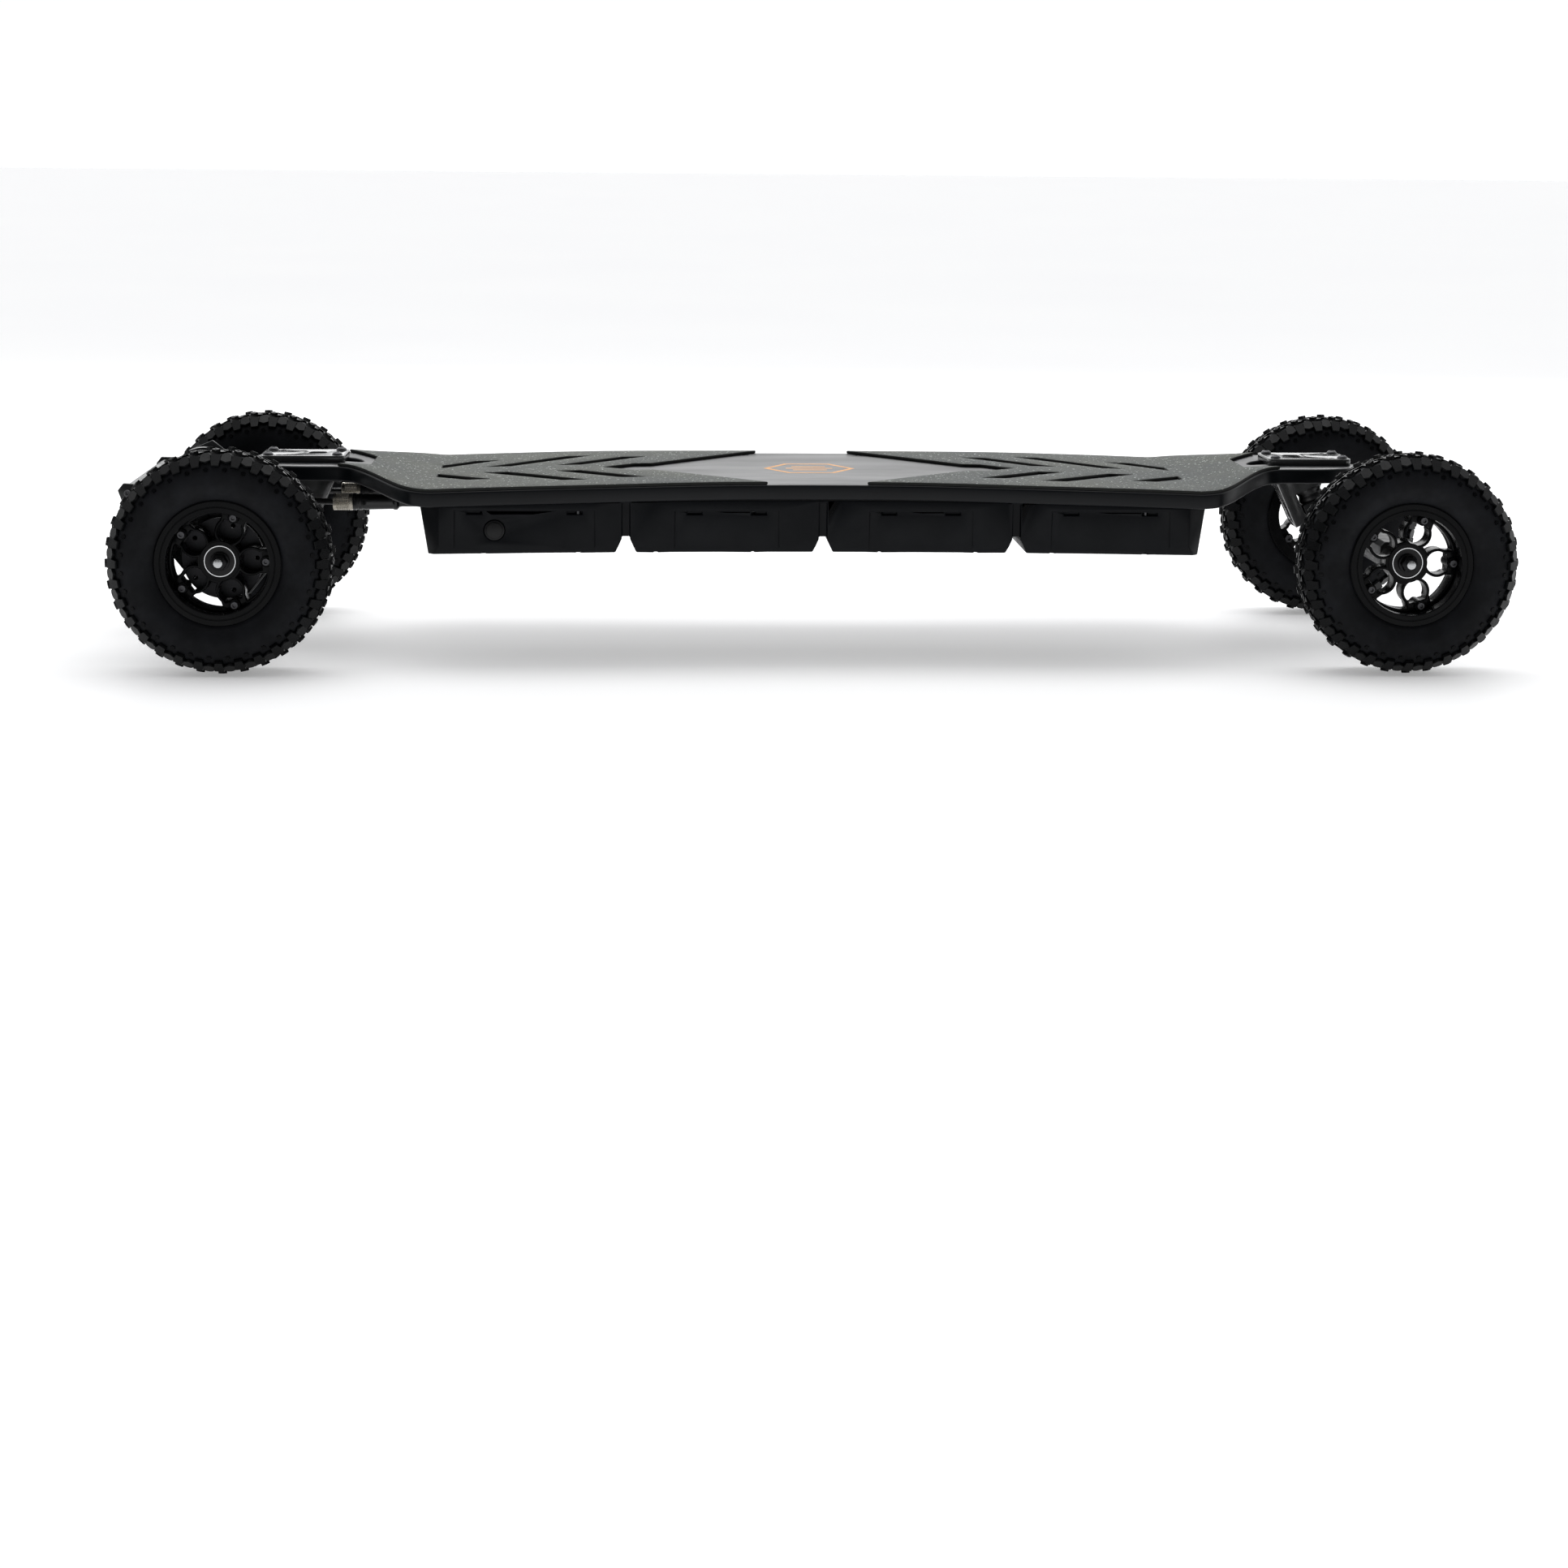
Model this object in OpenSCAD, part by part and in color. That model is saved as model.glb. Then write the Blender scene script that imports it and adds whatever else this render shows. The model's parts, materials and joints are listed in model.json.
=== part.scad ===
// Off-road electric skateboard: drop-through deck, double-kingpin trucks, gear drive on the rear axle.
// +X points to the nose, +Y to the left of the rider's path, +Z up. The origin is on the ground,
// half way between the axles.

/* [Stance] */
// Distance between the front and rear axles
wheelbase = 1054; // [1040:2:1070]
// Distance between the middle planes of a left and a right tyre
track = 334; // [332:1:340]
// Outer diameter of a tyre
tyre_d = 200; // [196:1:204]
// Widest width of a tyre
tyre_w = 56; // [54:1:58]

/* [Deck] */
// Half length of the deck
deck_half = 528.5; // [526:0.5:530]
// Half width of the deck at its waist
waist_half = 130; // [128:1:134]
// Half width where the feet stand
stand_half = 140.5; // [138:0.5:142]
// Half width of the neck that carries a truck
neck_half = 61; // [60:1:63]
// Height of the bare top at mid length
crown_z = 163.5; // [162:0.5:165]
// How far the top falls from mid length to the foot of the bend
crown_drop = 6.5; // [5:0.5:8]
// How far the bend lifts the neck
neck_lift = 14; // [12:0.5:15]
// Thickness of the laminate
deck_t = 13.5; // [12:0.5:14]
// Thickness of the foam grip
grip_t = 2.8; // [2:0.2:3]

/* [Battery tray] */
// Half length of the tray at its top
tray_half = 358; // [356:1:360]
// Half width of the tray
tray_side = 118; // [117:1:119]
// Height of the tray's underside at mid length
tray_z = 100.5; // [99:0.5:102]
// Thickness of the gasket under the deck
gasket_t = 2; // [1.5:0.5:2]

/* [Trucks] */
// Distance from mid length to the middle of a truck's bolt pattern
bolt_x = 470.8; // [470:0.2:472]
// Thickness of the base plate on top of the deck
plate_t = 6; // [5:0.5:6]
// Slope of the two steering axes
tilt = 25; // [24:0.5:26]
// Diameter of the wheel axle
axle_d = 12; // [12:0.1:12]

/* [Drive] */
// Gear module
gear_m = 1.5; // [1.5:0.1:1.5]
// Teeth on the wheel gear
wheel_teeth = 36; // [36:1:36]
// Teeth on the idler
idler_teeth = 18; // [18:1:18]
// Teeth on the motor pinion
pinion_teeth = 12; // [12:1:12]
// Diameter of the motor's spinning can
can_d = 62.6; // [60:0.2:63]

/* [Hidden] */

$fn = 64;
front = 1;
rear = -1;
right = -1;
left = 1;
axle_z = tyre_d / 2;
axle_x = wheelbase / 2;
big = 700;

// ---- deck shape -------------------------------------------------------------------------------
bend_start = 345;
bend_length = 95;
waist_end = 60;
stand_start = 230;
shoulder = 357;
neck_start = 430;
nose_start = 455;
nose_power = 2.4;

function smooth(t) = t * t * (3 - 2 * t);
function clamp01(t) = min(1, max(0, t));
function deck_top(x) = abs(x) < bend_start
    ? crown_z - crown_drop * pow(x / bend_start, 2)
    : crown_z - crown_drop + neck_lift * smooth(clamp01((abs(x) - bend_start) / bend_length));
function stand_width(x) = waist_half
    + (stand_half - waist_half) * smooth(clamp01((x - waist_end) / (stand_start - waist_end)));
function neck_width(x) = stand_half
    - (stand_half - neck_half) * smooth(clamp01((x - shoulder) / (neck_start - shoulder)));
function nose_width(x) = neck_half
    * pow(1 - pow(clamp01((x - nose_start) / (deck_half - nose_start)), nose_power), 1 / nose_power);
function half_width(x) = x < shoulder ? stand_width(x) : x < nose_start ? neck_width(x) : nose_width(x);

// Stations along half of the deck, closer together where the edge turns
half_stations = concat(
    [for (k = [0:7]) waist_end + (stand_start - waist_end) * k / 7],
    [for (k = [0:10]) shoulder + (neck_start - shoulder) * k / 10],
    [for (k = [0:10]) nose_start + (deck_half - nose_start) * sin(90 * k / 10)]
);
edge_stations = concat(
    [for (k = [len(half_stations) - 1:-1:0]) -half_stations[k]],
    half_stations
);
profile_half = concat(
    [for (k = [0:12]) bend_start * k / 12],
    [for (k = [1:9]) bend_start + bend_length * k / 9],
    [deck_half + 20]
);
profile_stations = concat(
    [for (k = [len(profile_half) - 1:-1:1]) -profile_half[k]],
    profile_half
);

// ---- places -----------------------------------------------------------------------------------
slot_half = 15;                 // half width of the slot that a truck drops through
bolt_dx = 31.75;                // half of the long bolt spacing
bolt_dy = 20.65;                // half of the short bolt spacing
spare_dx = 22.23;               // the spare holes of the shorter bolt pattern
neck_z = crown_z - crown_drop + neck_lift;
plate_half = [39, 28.5];
pivot_x = axle_x - 45;          // inner steering centre
pivot_z = axle_z + 32;
outer_dx = 31.8;                // outer steering centre, in the truck's tilted frame
outer_dz = -35.8;
arm_half = 13.5;                // half width of the arm
eye_half = 5;                   // half thickness of the arm's eye
bush_r = 12;
bush_t = 12;
kingpin_r = 5;
eye_hole_r = 6.5;
pivot_pin_r = 4;
running = 0.05;                 // radial clearance of a running fit

gear_angle = 38;                // the motor sits above and behind the axle by this angle
idler_at = gear_m * (wheel_teeth + idler_teeth) / 2;
motor_at = idler_at + gear_m * (idler_teeth + pinion_teeth) / 2;
case_in = 104;                  // distance of the gear case from the middle of the board
case_out = 123;
cover_out = 127;
gear_in = 107.5;
gear_out = 118.5;
can_in = 20.5;                  // free end of the motor can
can_out = 85.5;
base_out = 100;                 // outer end of the motor's fixed base
base_r = 33;
shaft_r = 4;
guard_r = 6;
hanger_end = 124;               // where the front hanger bar ends
hub_in = track / 2 - 20;        // inner face of a wheel's inner bearing
hub_out = track / 2 + 7;        // outer face of a wheel's outer bearing

tray_wall = 10;
tray_floor = 4;
tray_end_slope = 8;
tray_chamfer = 18;
tray_corner = 7;
groove_x = [-172, 6, 182];      // flex grooves across the tray
groove_half = 3.8;
groove_depth = 14;
side_groove = 4;
button_x = -290;
button_z = 120;
button_r = 9;
port_x = -250;
port_z = 122;
screw_x = [57.5, 145, 215, 300];
screw_y = 113;

// ---- general helpers --------------------------------------------------------------------------
module both_sides() {
    children();
    mirror([0, 1, 0]) children();
}

module both_ends() {
    children();
    mirror([1, 0, 0]) children();
}

module at_end(end) {
    if (end == front) children();
    if (end == rear) mirror([1, 0, 0]) children();
}

module truck_frame() {
    translate([pivot_x, 0, pivot_z]) rotate([0, -tilt, 0]) children();
}

// A slice of board between two distances from the bare top, following the deck's curve
module board_band(low, high) {
    rotate([90, 0, 0]) linear_extrude(2 * stand_half + 20, center = true) polygon(concat(
        [for (x = profile_stations) [x, deck_top(x) + high]],
        [for (k = [len(profile_stations) - 1:-1:0])
            [profile_stations[k], deck_top(profile_stations[k]) + low]]
    ));
}

module hexagon_rod(across, height) {
    cylinder(d = across / cos(30), h = height, $fn = 6);
}

// Dome-headed socket screw with its head's seat at z = 0 and its shank below
module dome_screw(head_r, head_h, shank_r, length) {
    difference() {
        rotate_extrude() polygon([[0, 0], [head_r, 0], [head_r * 0.93, head_h * 0.45],
            [head_r * 0.7, head_h * 0.85], [head_r * 0.45, head_h], [0, head_h]]);
        translate([0, 0, head_h * 0.3]) hexagon_rod(head_r * 0.75, head_h);
    }
    translate([0, 0, -length]) cylinder(r = shank_r, h = length);
}

module cap_screw(head_r, head_h, shank_r, length) {
    difference() {
        cylinder(r = head_r, h = head_h);
        translate([0, 0, head_h * 0.45]) hexagon_rod(head_r * 0.9, head_h);
    }
    translate([0, 0, -length]) cylinder(r = shank_r, h = length);
}

// ---- swept leads ------------------------------------------------------------------------------
function spline(p, k, t) =
    let (a = p[max(0, k - 1)], b = p[k], c = p[k + 1], d = p[min(len(p) - 1, k + 2)])
    0.5 * ((2 * b) + (c - a) * t + (2 * a - 5 * b + 4 * c - d) * t * t
        + (3 * b - a - 3 * c + d) * t * t * t);
function path_points(p, steps) = concat(
    [for (k = [0:len(p) - 2]) for (s = [0:steps - 1]) spline(p, k, s / steps)],
    [p[len(p) - 1]]
);
function unit(v) = v / norm(v);
function heading(p, k) = unit(p[min(len(p) - 1, k + 1)] - p[max(0, k - 1)]);
function side_of(v) = unit(cross(v, [0, 0, 1]));
function ring(p, k, r, sides) =
    let (h = heading(p, k), u = side_of(h), w = cross(u, h))
    [for (s = [0:sides - 1]) p[k] + r * (cos(360 * s / sides) * u + sin(360 * s / sides) * w)];

module lead(route, r0, r1, steps, sides) {
    p = path_points(route, steps);
    n = len(p);
    polyhedron(
        points = [for (k = [0:n - 1]) each ring(p, k, r0 + (r1 - r0) * k / (n - 1), sides)],
        faces = concat(
            [[for (s = [sides - 1:-1:0]) s]],
            [for (k = [0:n - 2]) for (s = [0:sides - 1])
                [k * sides + (s + 1) % sides, (k + 1) * sides + (s + 1) % sides,
                 (k + 1) * sides + s, k * sides + s]],
            [[for (s = [0:sides - 1]) (n - 1) * sides + s]]
        )
    );
}

// ---- deck and grip ----------------------------------------------------------------------------
module deck_outline() {
    polygon(concat(
        [for (x = edge_stations) [x, half_width(abs(x))]],
        [for (k = [len(edge_stations) - 1:-1:0]) [edge_stations[k], -half_width(abs(edge_stations[k]))]]
    ));
}

// The slot a truck drops through: a half moon inside the plate, open at the tip
module truck_slot() {
    slot_x = bolt_x - plate_half[0];
    translate([slot_x, 0]) circle(r = slot_half);
    translate([slot_x, -slot_half]) square([deck_half - slot_x + 5, 2 * slot_half]);
    polygon([[deck_half - 9.5, -slot_half], [deck_half + 4, -slot_half - 14],
        [deck_half + 4, slot_half + 14], [deck_half - 9.5, slot_half]]);
}

module deck_holes() {
    for (x = [bolt_x - bolt_dx, bolt_x + bolt_dx, bolt_x + spare_dx], y = [-bolt_dy, bolt_dy])
        translate([x, y]) circle(r = 2.7);
}

module screw_places() {
    for (x = screw_x, sx = [-1, 1], sy = [-1, 1]) translate([sx * x, sy * screw_y, 0]) children();
}

// The sunk seats of the same screws' heads, just under the deck's top
module screw_seats() {
    for (x = screw_x, sx = [-1, 1], sy = [-1, 1])
        translate([sx * x, sy * screw_y, deck_top(x) - screw_sink]) children();
}

screw_sink = 1.3;
inlay_t = 0.8;
inlay_r = 43;

module inlay_shape() {
    difference() {
        circle(r = inlay_r, $fn = 6);
        circle(r = inlay_r - 5, $fn = 6);
    }
    for (k = [-1:1]) translate([0, k * 13]) square([44 - 12 * abs(k), 5], center = true);
}

module deck() {
    color("#26282a") difference() {
        intersection() {
            board_band(-deck_t, 0);
            linear_extrude(big) deck_outline();
        }
        linear_extrude(big) both_ends() truck_slot();
        linear_extrude(big) both_ends() deck_holes();
        screw_places() cylinder(r = 2.2, h = big, $fn = 24);
        screw_seats() cylinder(r = 3.7, h = 20, $fn = 32);
        translate([0, 0, crown_z - inlay_t]) linear_extrude(10) inlay_shape();
    }
}

module deck_inlay() {
    color("#c9a77a") translate([0, 0, crown_z - inlay_t]) linear_extrude(inlay_t) inlay_shape();
}

slash_w = 23;
slash_in = 22.5;

// A slanted cut in the grip, from its inner end outwards at 45 degrees
module slash(inner_x, outer_y) {
    run = outer_y - slash_in;
    polygon([[inner_x, slash_in], [inner_x - slash_w, slash_in],
        [inner_x - run - slash_w, outer_y], [inner_x - run, outer_y]]);
}

module grip_cuts() {
    slash(304, 96.5);
    slash(237, 83);
    intersection() {
        slash(369.5, 75);
        square([346, 200]);
    }
}

module centre_panel() {
    polygon([[-10, -160], [14, -160], [148, -25.5], [165, -25.5], [194, 0],
        [165, 25.5], [148, 25.5], [14, 160], [-10, 160]]);
}

module neck_platform() {
    polygon([[436, -80], [436, -61], [407, -33], [407, 33], [436, 61], [436, 80],
        [deck_half + 5, 80], [deck_half + 5, -80]]);
}

module grip() {
    intersection() {
        board_band(0, grip_t);
        linear_extrude(big) difference() {
            intersection() {
                deck_outline();
                translate([0, -200]) square([600, 400]);
            }
            centre_panel();
            neck_platform();
            grip_cuts();
            mirror([0, 1]) grip_cuts();
        }
    }
}

module front_grip() {
    color("#4b4e4b") grip();
}

module rear_grip() {
    color("#4b4e4b") mirror([1, 0, 0]) grip();
}

// ---- battery tray -----------------------------------------------------------------------------
tray_stations = [for (k = [-8:8]) tray_half * k / 8];
roof_stations = concat([-tray_half], [for (x = profile_stations) if (abs(x) < tray_half) x], [tray_half]);
function tray_roof(x) = deck_top(x) - deck_t - gasket_t;
function tray_under(x) = tray_z - 3 * pow(x / tray_half, 2);

module tray_plan(inset) {
    h = tray_half - inset;
    s = tray_side - inset;
    c = tray_chamfer;
    polygon([[-h, -s + c], [-h + c, -s], [h - c, -s], [h, -s + c],
        [h, s - c], [h - c, s], [-h + c, s], [-h, s - c]]);
}

module tray_profile(slope, lift) {
    low = [for (k = [len(tray_stations) - 1:-1:0])
        [tray_stations[k] * (tray_half - slope) / tray_half, tray_under(tray_stations[k]) + lift]];
    rotate([90, 0, 0]) linear_extrude(2 * tray_side + 10, center = true)
        polygon(concat([for (x = roof_stations) [x, tray_roof(x)]], low));
}

module tray_section() {
    s = tray_side + 1;
    c = tray_corner;
    rotate([90, 0, 90]) linear_extrude(big * 2, center = true)
        polygon([[-s, 200], [-s, tray_z + c], [-s + c, tray_z - 4], [s - c, tray_z - 4], [s, tray_z + c],
            [s, 200]]);
}

// One flex groove: deep and flared underneath, shallow up each side
module tray_groove(x) {
    w = groove_half;
    translate([x, 0, 0]) {
        rotate([90, 0, 0]) linear_extrude(2 * tray_side + 20, center = true)
            polygon([[-w, tray_z + groove_depth], [w, tray_z + groove_depth],
                [w, tray_z + groove_depth - 2],
                [w + 8, tray_z - 6], [-w - 8, tray_z - 6], [-w, tray_z + groove_depth - 2]]);
        both_sides() translate([-w, tray_side - side_groove, 0]) cube([2 * w, 20, 146]);
    }
}

// Bays: [lowest x, highest x] of each pocket between the grooves
bays = [
    [-tray_half + 22, groove_x[0] - 14],
    [groove_x[0] + 14, groove_x[1] - 14],
    [groove_x[1] + 14, groove_x[2] - 14],
    [groove_x[2] + 14, tray_half - 22]
];
panels = [[-326, -200], [-128, -34], [48, 142], [214, 322]];

module side_panel(p) {
    translate([p[0], tray_side - 2, tray_z - 10]) cube([p[1] - p[0], 20, 48]);
    for (x = [p[0] + 18, p[1] - 18]) translate([x - 7, tray_side - 5, tray_z + 34]) cube([14, 20, 3.2]);
}

module battery_tray() {
    color("#303338") difference() {
        intersection() {
            tray_profile(tray_end_slope, 0);
            linear_extrude(big) tray_plan(0);
            tray_section();
        }
        for (b = bays) intersection() {
            translate([b[0], -tray_side + tray_wall, 0])
                cube([b[1] - b[0], 2 * (tray_side - tray_wall), 200]);
            tray_profile_inner();
        }
        for (x = groove_x) tray_groove(x);
        for (x = groove_x) translate([x - 20, -10, tray_z + 24]) cube([40, 20, 12]);
        for (p = panels) both_sides() side_panel(p);
        screw_places() cylinder(r = 1.7, h = 200, $fn = 24);
        translate([button_x, 0, button_z]) rotate([90, 0, 0]) cylinder(r = button_r + 0.3, h = 200);
        translate([port_x, 0, port_z]) rotate([-90, 0, 0]) cylinder(r = 8, h = 200);
        both_sides() translate([-tray_half - 5, 40, connector_z]) rotate([0, 90, 0])
            cylinder(r = 5.2, h = 40);
    }
}

module tray_profile_inner() {
    low = [for (k = [len(tray_stations) - 1:-1:0])
        [tray_stations[k], tray_under(tray_stations[k]) + tray_floor]];
    high = [for (x = tray_stations) [x, tray_roof(x) + 20]];
    rotate([90, 0, 0]) linear_extrude(2 * tray_side, center = true) polygon(concat(high, low));
}

module tray_gasket() {
    color("#111111") difference() {
        intersection() {
            board_band(-deck_t - gasket_t, -deck_t);
            linear_extrude(big) difference() {
                tray_plan(0);
                tray_plan(tray_wall);
            }
        }
        screw_places() cylinder(r = 2.2, h = big, $fn = 24);
    }
}

module tray_screws() {
    color("#55585a") screw_seats() {
        difference() {
            cylinder(r = 3.6, h = 1.1, $fn = 32);
            translate([0, 0, 0.5]) hexagon_rod(2.5, 2);
        }
        translate([0, 0, -25]) cylinder(r = 1.7, h = 25, $fn = 24);
    }
}

cell_r = 9.2;
cell_pitch = 18.7;
cell_length = 195;

module battery_cells() {
    color("#2f6f9f") for (b = [1:3], k = [0:6], layer = [0, 1]) {
        x = (bays[b][0] + bays[b][1]) / 2 + (k - 3) * cell_pitch;
        z = tray_under(0) + tray_floor + 0.6 + cell_r + layer * cell_pitch;
        translate([x, 0, z]) rotate([90, 0, 0])
            cylinder(r = cell_r, h = cell_length, center = true, $fn = 32);
    }
}

module battery_board() {
    x = bays[0][0] + 3;
    color("#1d5b34") translate([x, -100, tray_z + 3]) cube([20, 200, 1.6]);
    color("#222222") for (k = [0:7]) translate([x + 5, -92 + 24 * k, tray_z + 4.6]) cube([10, 14, 3]);
}

module speed_controller() {
    x = bays[0][0] + 34;
    color("#8b8f93") translate([x, -70, tray_z + 4]) cube([90, 140, 14]);
    color("#8b8f93") for (k = [0:10]) translate([x, -68 + 13 * k, tray_z + 18]) cube([90, 4, 8]);
}

module charge_port() {
    color("#b8bcc0") translate([port_x, tray_side - 2, port_z]) rotate([90, 0, 0]) difference() {
        union() {
            translate([0, 0, -2]) cylinder(r = 10, h = 2);
            cylinder(r = 7.95, h = 14);
        }
        translate([0, 0, -3]) cylinder(r = 5.5, h = 12);
    }
    color("#d9b64a") for (a = [90, 210, 330])
        translate([port_x + 2.5 * cos(a), tray_side - 13, port_z + 2.5 * sin(a)]) rotate([-90, 0, 0])
            cylinder(r = 0.9, h = 9, $fn = 16);
}

module power_button() {
    color("#1b1c1e") translate([button_x, -tray_side + 9, button_z]) rotate([90, 0, 0]) {
        cylinder(r = button_r, h = 8.4);
        translate([0, 0, 8.4]) cylinder(r = button_r - 1.5, h = 0.8);
        translate([0, 0, -4]) cylinder(r = 4, h = 4);
    }
}

// ---- cables between the tray and the motors ---------------------------------------------------
connector_x = -441;
connector_z = 136;
boot_x = -423;
lead_r = 2.5;
lead_routes = [
    [[-545.4, 93, 127.4], [-541.8, 92.2, 126.6], [-536.3, 87.5, 128.3], [-529.5, 78, 126.5],
        [-522, 66, 124.5], [-516, 52, 125], [-510, 42, 127.5], [-503, 36, 131]],
    [[-546.8, 88.8, 124.1], [-543.8, 87.8, 122.8], [-541.6, 83.3, 123.4], [-534, 74, 122],
        [-526.5, 62.5, 121], [-520.5, 49.5, 122.5], [-514.5, 38.5, 125.5], [-506.5, 31, 129]]
];
trunk_route = [[-498, 35, 132], [-488, 36, 134], [-474, 38.5, 135.5], [-458, 41.5, 136], [-441, 42.6, 136]];
trunk_gap = [0, -5.2, 0];

module cable_connectors() {
    color("#b9b2a2") both_sides() translate([connector_x, 40, connector_z]) rotate([0, 90, 0]) {
        for (k = [0:5]) translate([0, 0, 2 * k + 3]) cylinder(r = 8.2, h = 1.4);
        cylinder(r = 7.7, h = 18);
    }
}

module cable_boots() {
    color("#17181a") both_sides() translate([boot_x, 40, connector_z]) rotate([0, 90, 0]) {
        cylinder(r1 = 7.9, r2 = 6.9, h = 38);
        translate([0, 0, 37]) cylinder(r = 7.6, h = 4);
        cylinder(r = 4.6, h = 70);
    }
}

module trunk_leads() {
    color("#17181a") both_sides() {
        lead(trunk_route, lead_r, lead_r, 4, 8);
        lead([for (p = trunk_route) p + trunk_gap], lead_r, lead_r, 4, 8);
    }
}

module motor_leads() {
    color("#17181a") both_sides() for (route = lead_routes) lead(route, lead_r, lead_r, 3, 8);
}

// ---- truck: fixed base ------------------------------------------------------------------------
leg_in = -26.8;
leg_out = -14.5;
block_out = 16;
seat_z = eye_half + bush_t;

module plate_outline() {
    hx = plate_half[0];
    hy = plate_half[1];
    r = 6;
    translate([bolt_x, 0]) {
        square([2 * hx, 2 * (hy - r)], center = true);
        square([2 * (hx - r), 2 * hy], center = true);
        for (sx = [-1, 1], sy = [-1, 1]) translate([sx * (hx - r), sy * (hy - r)]) circle(r = r);
    }
}

module nut_window() {
    w = 16.3 / 2;
    r = 4;
    translate([bolt_x - 11.8, 0]) {
        square([2 * w, 2 * (w - r)], center = true);
        square([2 * (w - r), 2 * w], center = true);
        for (sx = [-1, 1], sy = [-1, 1]) translate([sx * (w - r), sy * (w - r)]) circle(r = r);
    }
}

module truck_base() {
    color("#3a3c3f") difference() {
        union() {
            translate([0, 0, neck_z]) linear_extrude(plate_t) plate_outline();
            intersection() {
                truck_frame() {
                    translate([leg_in, -14, seat_z]) cube([block_out - leg_in, 28, 60]);
                    translate([leg_in, -14, -12]) cube([leg_out - leg_in, 28, 60]);
                }
                translate([0, -20, 0]) cube([big, 40, neck_z + 0.5]);
            }
        }
        translate([0, 0, neck_z - 14]) linear_extrude(60) nut_window();
        translate([0, 0, neck_z - 5]) linear_extrude(60) deck_holes();
        truck_frame() {
            translate([0, 0, seat_z - 1]) cylinder(r = kingpin_r, h = 40);
            translate([0, 0, seat_z + 12]) cylinder(r = 10, h = 16);
            translate([leg_in - 1, 0, 0]) rotate([0, 90, 0]) cylinder(r = pivot_pin_r + running, h = 20);
        }
    }
}

module truck_bolts() {
    color("#8d9194") both_ends() for (x = [bolt_x - bolt_dx, bolt_x + bolt_dx], y = [-bolt_dy, bolt_dy])
        translate([x, y, neck_z + plate_t]) {
            dome_screw(4.9, 2.8, 2.5, 26);
            translate([0, 0, -plate_t - deck_t - 5]) difference() {
                hexagon_rod(8, 4.6);
                translate([0, 0, -1]) cylinder(r = 2.5, h = 7);
            }
        }
}

module kingpin(top_z, bottom_z, nut_top) {
    difference() {
        translate([0, 0, top_z]) cylinder(r = 8, h = 8);
        translate([0, 0, top_z + 4]) hexagon_rod(8, 8);
    }
    translate([0, 0, bottom_z]) cylinder(r = kingpin_r, h = top_z - bottom_z);
    translate([0, 0, nut_top - 8]) difference() {
        hexagon_rod(17, 8);
        translate([0, 0, -1]) cylinder(r = kingpin_r, h = 10);
    }
    translate([0, 0, nut_top]) difference() {
        cylinder(r = 11, h = 2);
        translate([0, 0, -1]) cylinder(r = kingpin_r, h = 4);
    }
}

module inner_kingpins() {
    color("#6e7276") both_ends() truck_frame() kingpin(seat_z + 12, -30, -seat_z - 2);
}

// Two bushings, one each side of an eye whose middle is at z = 0
module bushings(half_eye) {
    for (s = [-1, 1]) scale([1, 1, s]) translate([0, 0, half_eye])
        rotate_extrude() polygon([[kingpin_r, 0.05], [bush_r, 0.05], [bush_r, 3],
            [bush_r - 1.2, bush_t / 2],
            [bush_r, bush_t - 3], [bush_r, bush_t], [kingpin_r, bush_t]]);
}

module inner_bushings() {
    color("#2b5d8c") truck_frame() bushings(eye_half);
}

// ---- truck: arm -------------------------------------------------------------------------------
arm_in = -13;
arm_out = 57;
outer_leg_in = 45;
outer_eye_half = 6;
outer_seat_z = outer_dz + outer_eye_half + bush_t + 0.8;

module arm() {
    color("#303235") truck_frame() difference() {
        union() {
            translate([arm_in, -arm_half, -eye_half]) cube([arm_out - arm_in, 2 * arm_half, 2 * eye_half]);
            translate([outer_dx, 0, outer_seat_z]) cylinder(r = arm_half, h = -outer_seat_z);
            translate([outer_leg_in, 0, 0]) rotate([90, 0, 90]) linear_extrude(arm_out - outer_leg_in)
                polygon([[-arm_half, 2], [-arm_half, outer_dz - 4], [-arm_half + 5, outer_dz - 10],
                    [arm_half - 5, outer_dz - 10], [arm_half, outer_dz - 4], [arm_half, 2]]);
            translate([leg_in + 3, 0, 0]) rotate([0, 90, 0]) cylinder(r = pivot_pin_r, h = arm_in - leg_in);
        }
        translate([0, 0, -20]) cylinder(r = eye_hole_r, h = 40);
        translate([outer_dx, 0, -40]) cylinder(r = kingpin_r, h = 60);
        translate([outer_leg_in - 1, 0, outer_dz]) rotate([0, 90, 0])
            cylinder(r = pivot_pin_r + running, h = 20);
        both_sides() translate([arm_out, arm_half, -60]) rotate([0, 0, 45])
            cube([5, 5, 140], center = true);
    }
}

module outer_kingpin() {
    color("#6e7276") truck_frame() translate([outer_dx, 0, 0])
        kingpin(eye_half, outer_dz - 31, outer_dz - outer_eye_half - bush_t - 2);
}

module outer_bushings() {
    color("#2b5d8c") truck_frame() translate([outer_dx, 0, outer_dz]) bushings(outer_eye_half);
}

// ---- truck: hanger ----------------------------------------------------------------------------
bar_half = 12;
bar_chamfer = 4;
cheek_in = 17;

// The eye round the outer kingpin and its pivot pin
module hanger_eye() {
    truck_frame() translate([outer_dx, 0, outer_dz]) difference() {
        union() {
            translate([-16, -22, -outer_eye_half]) cube([28, 44, 2 * outer_eye_half]);
            translate([11, 0, 0]) rotate([0, 90, 0]) cylinder(r = pivot_pin_r, h = 13);
        }
        translate([0, 0, -20]) cylinder(r = eye_hole_r, h = 40);
    }
}

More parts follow.
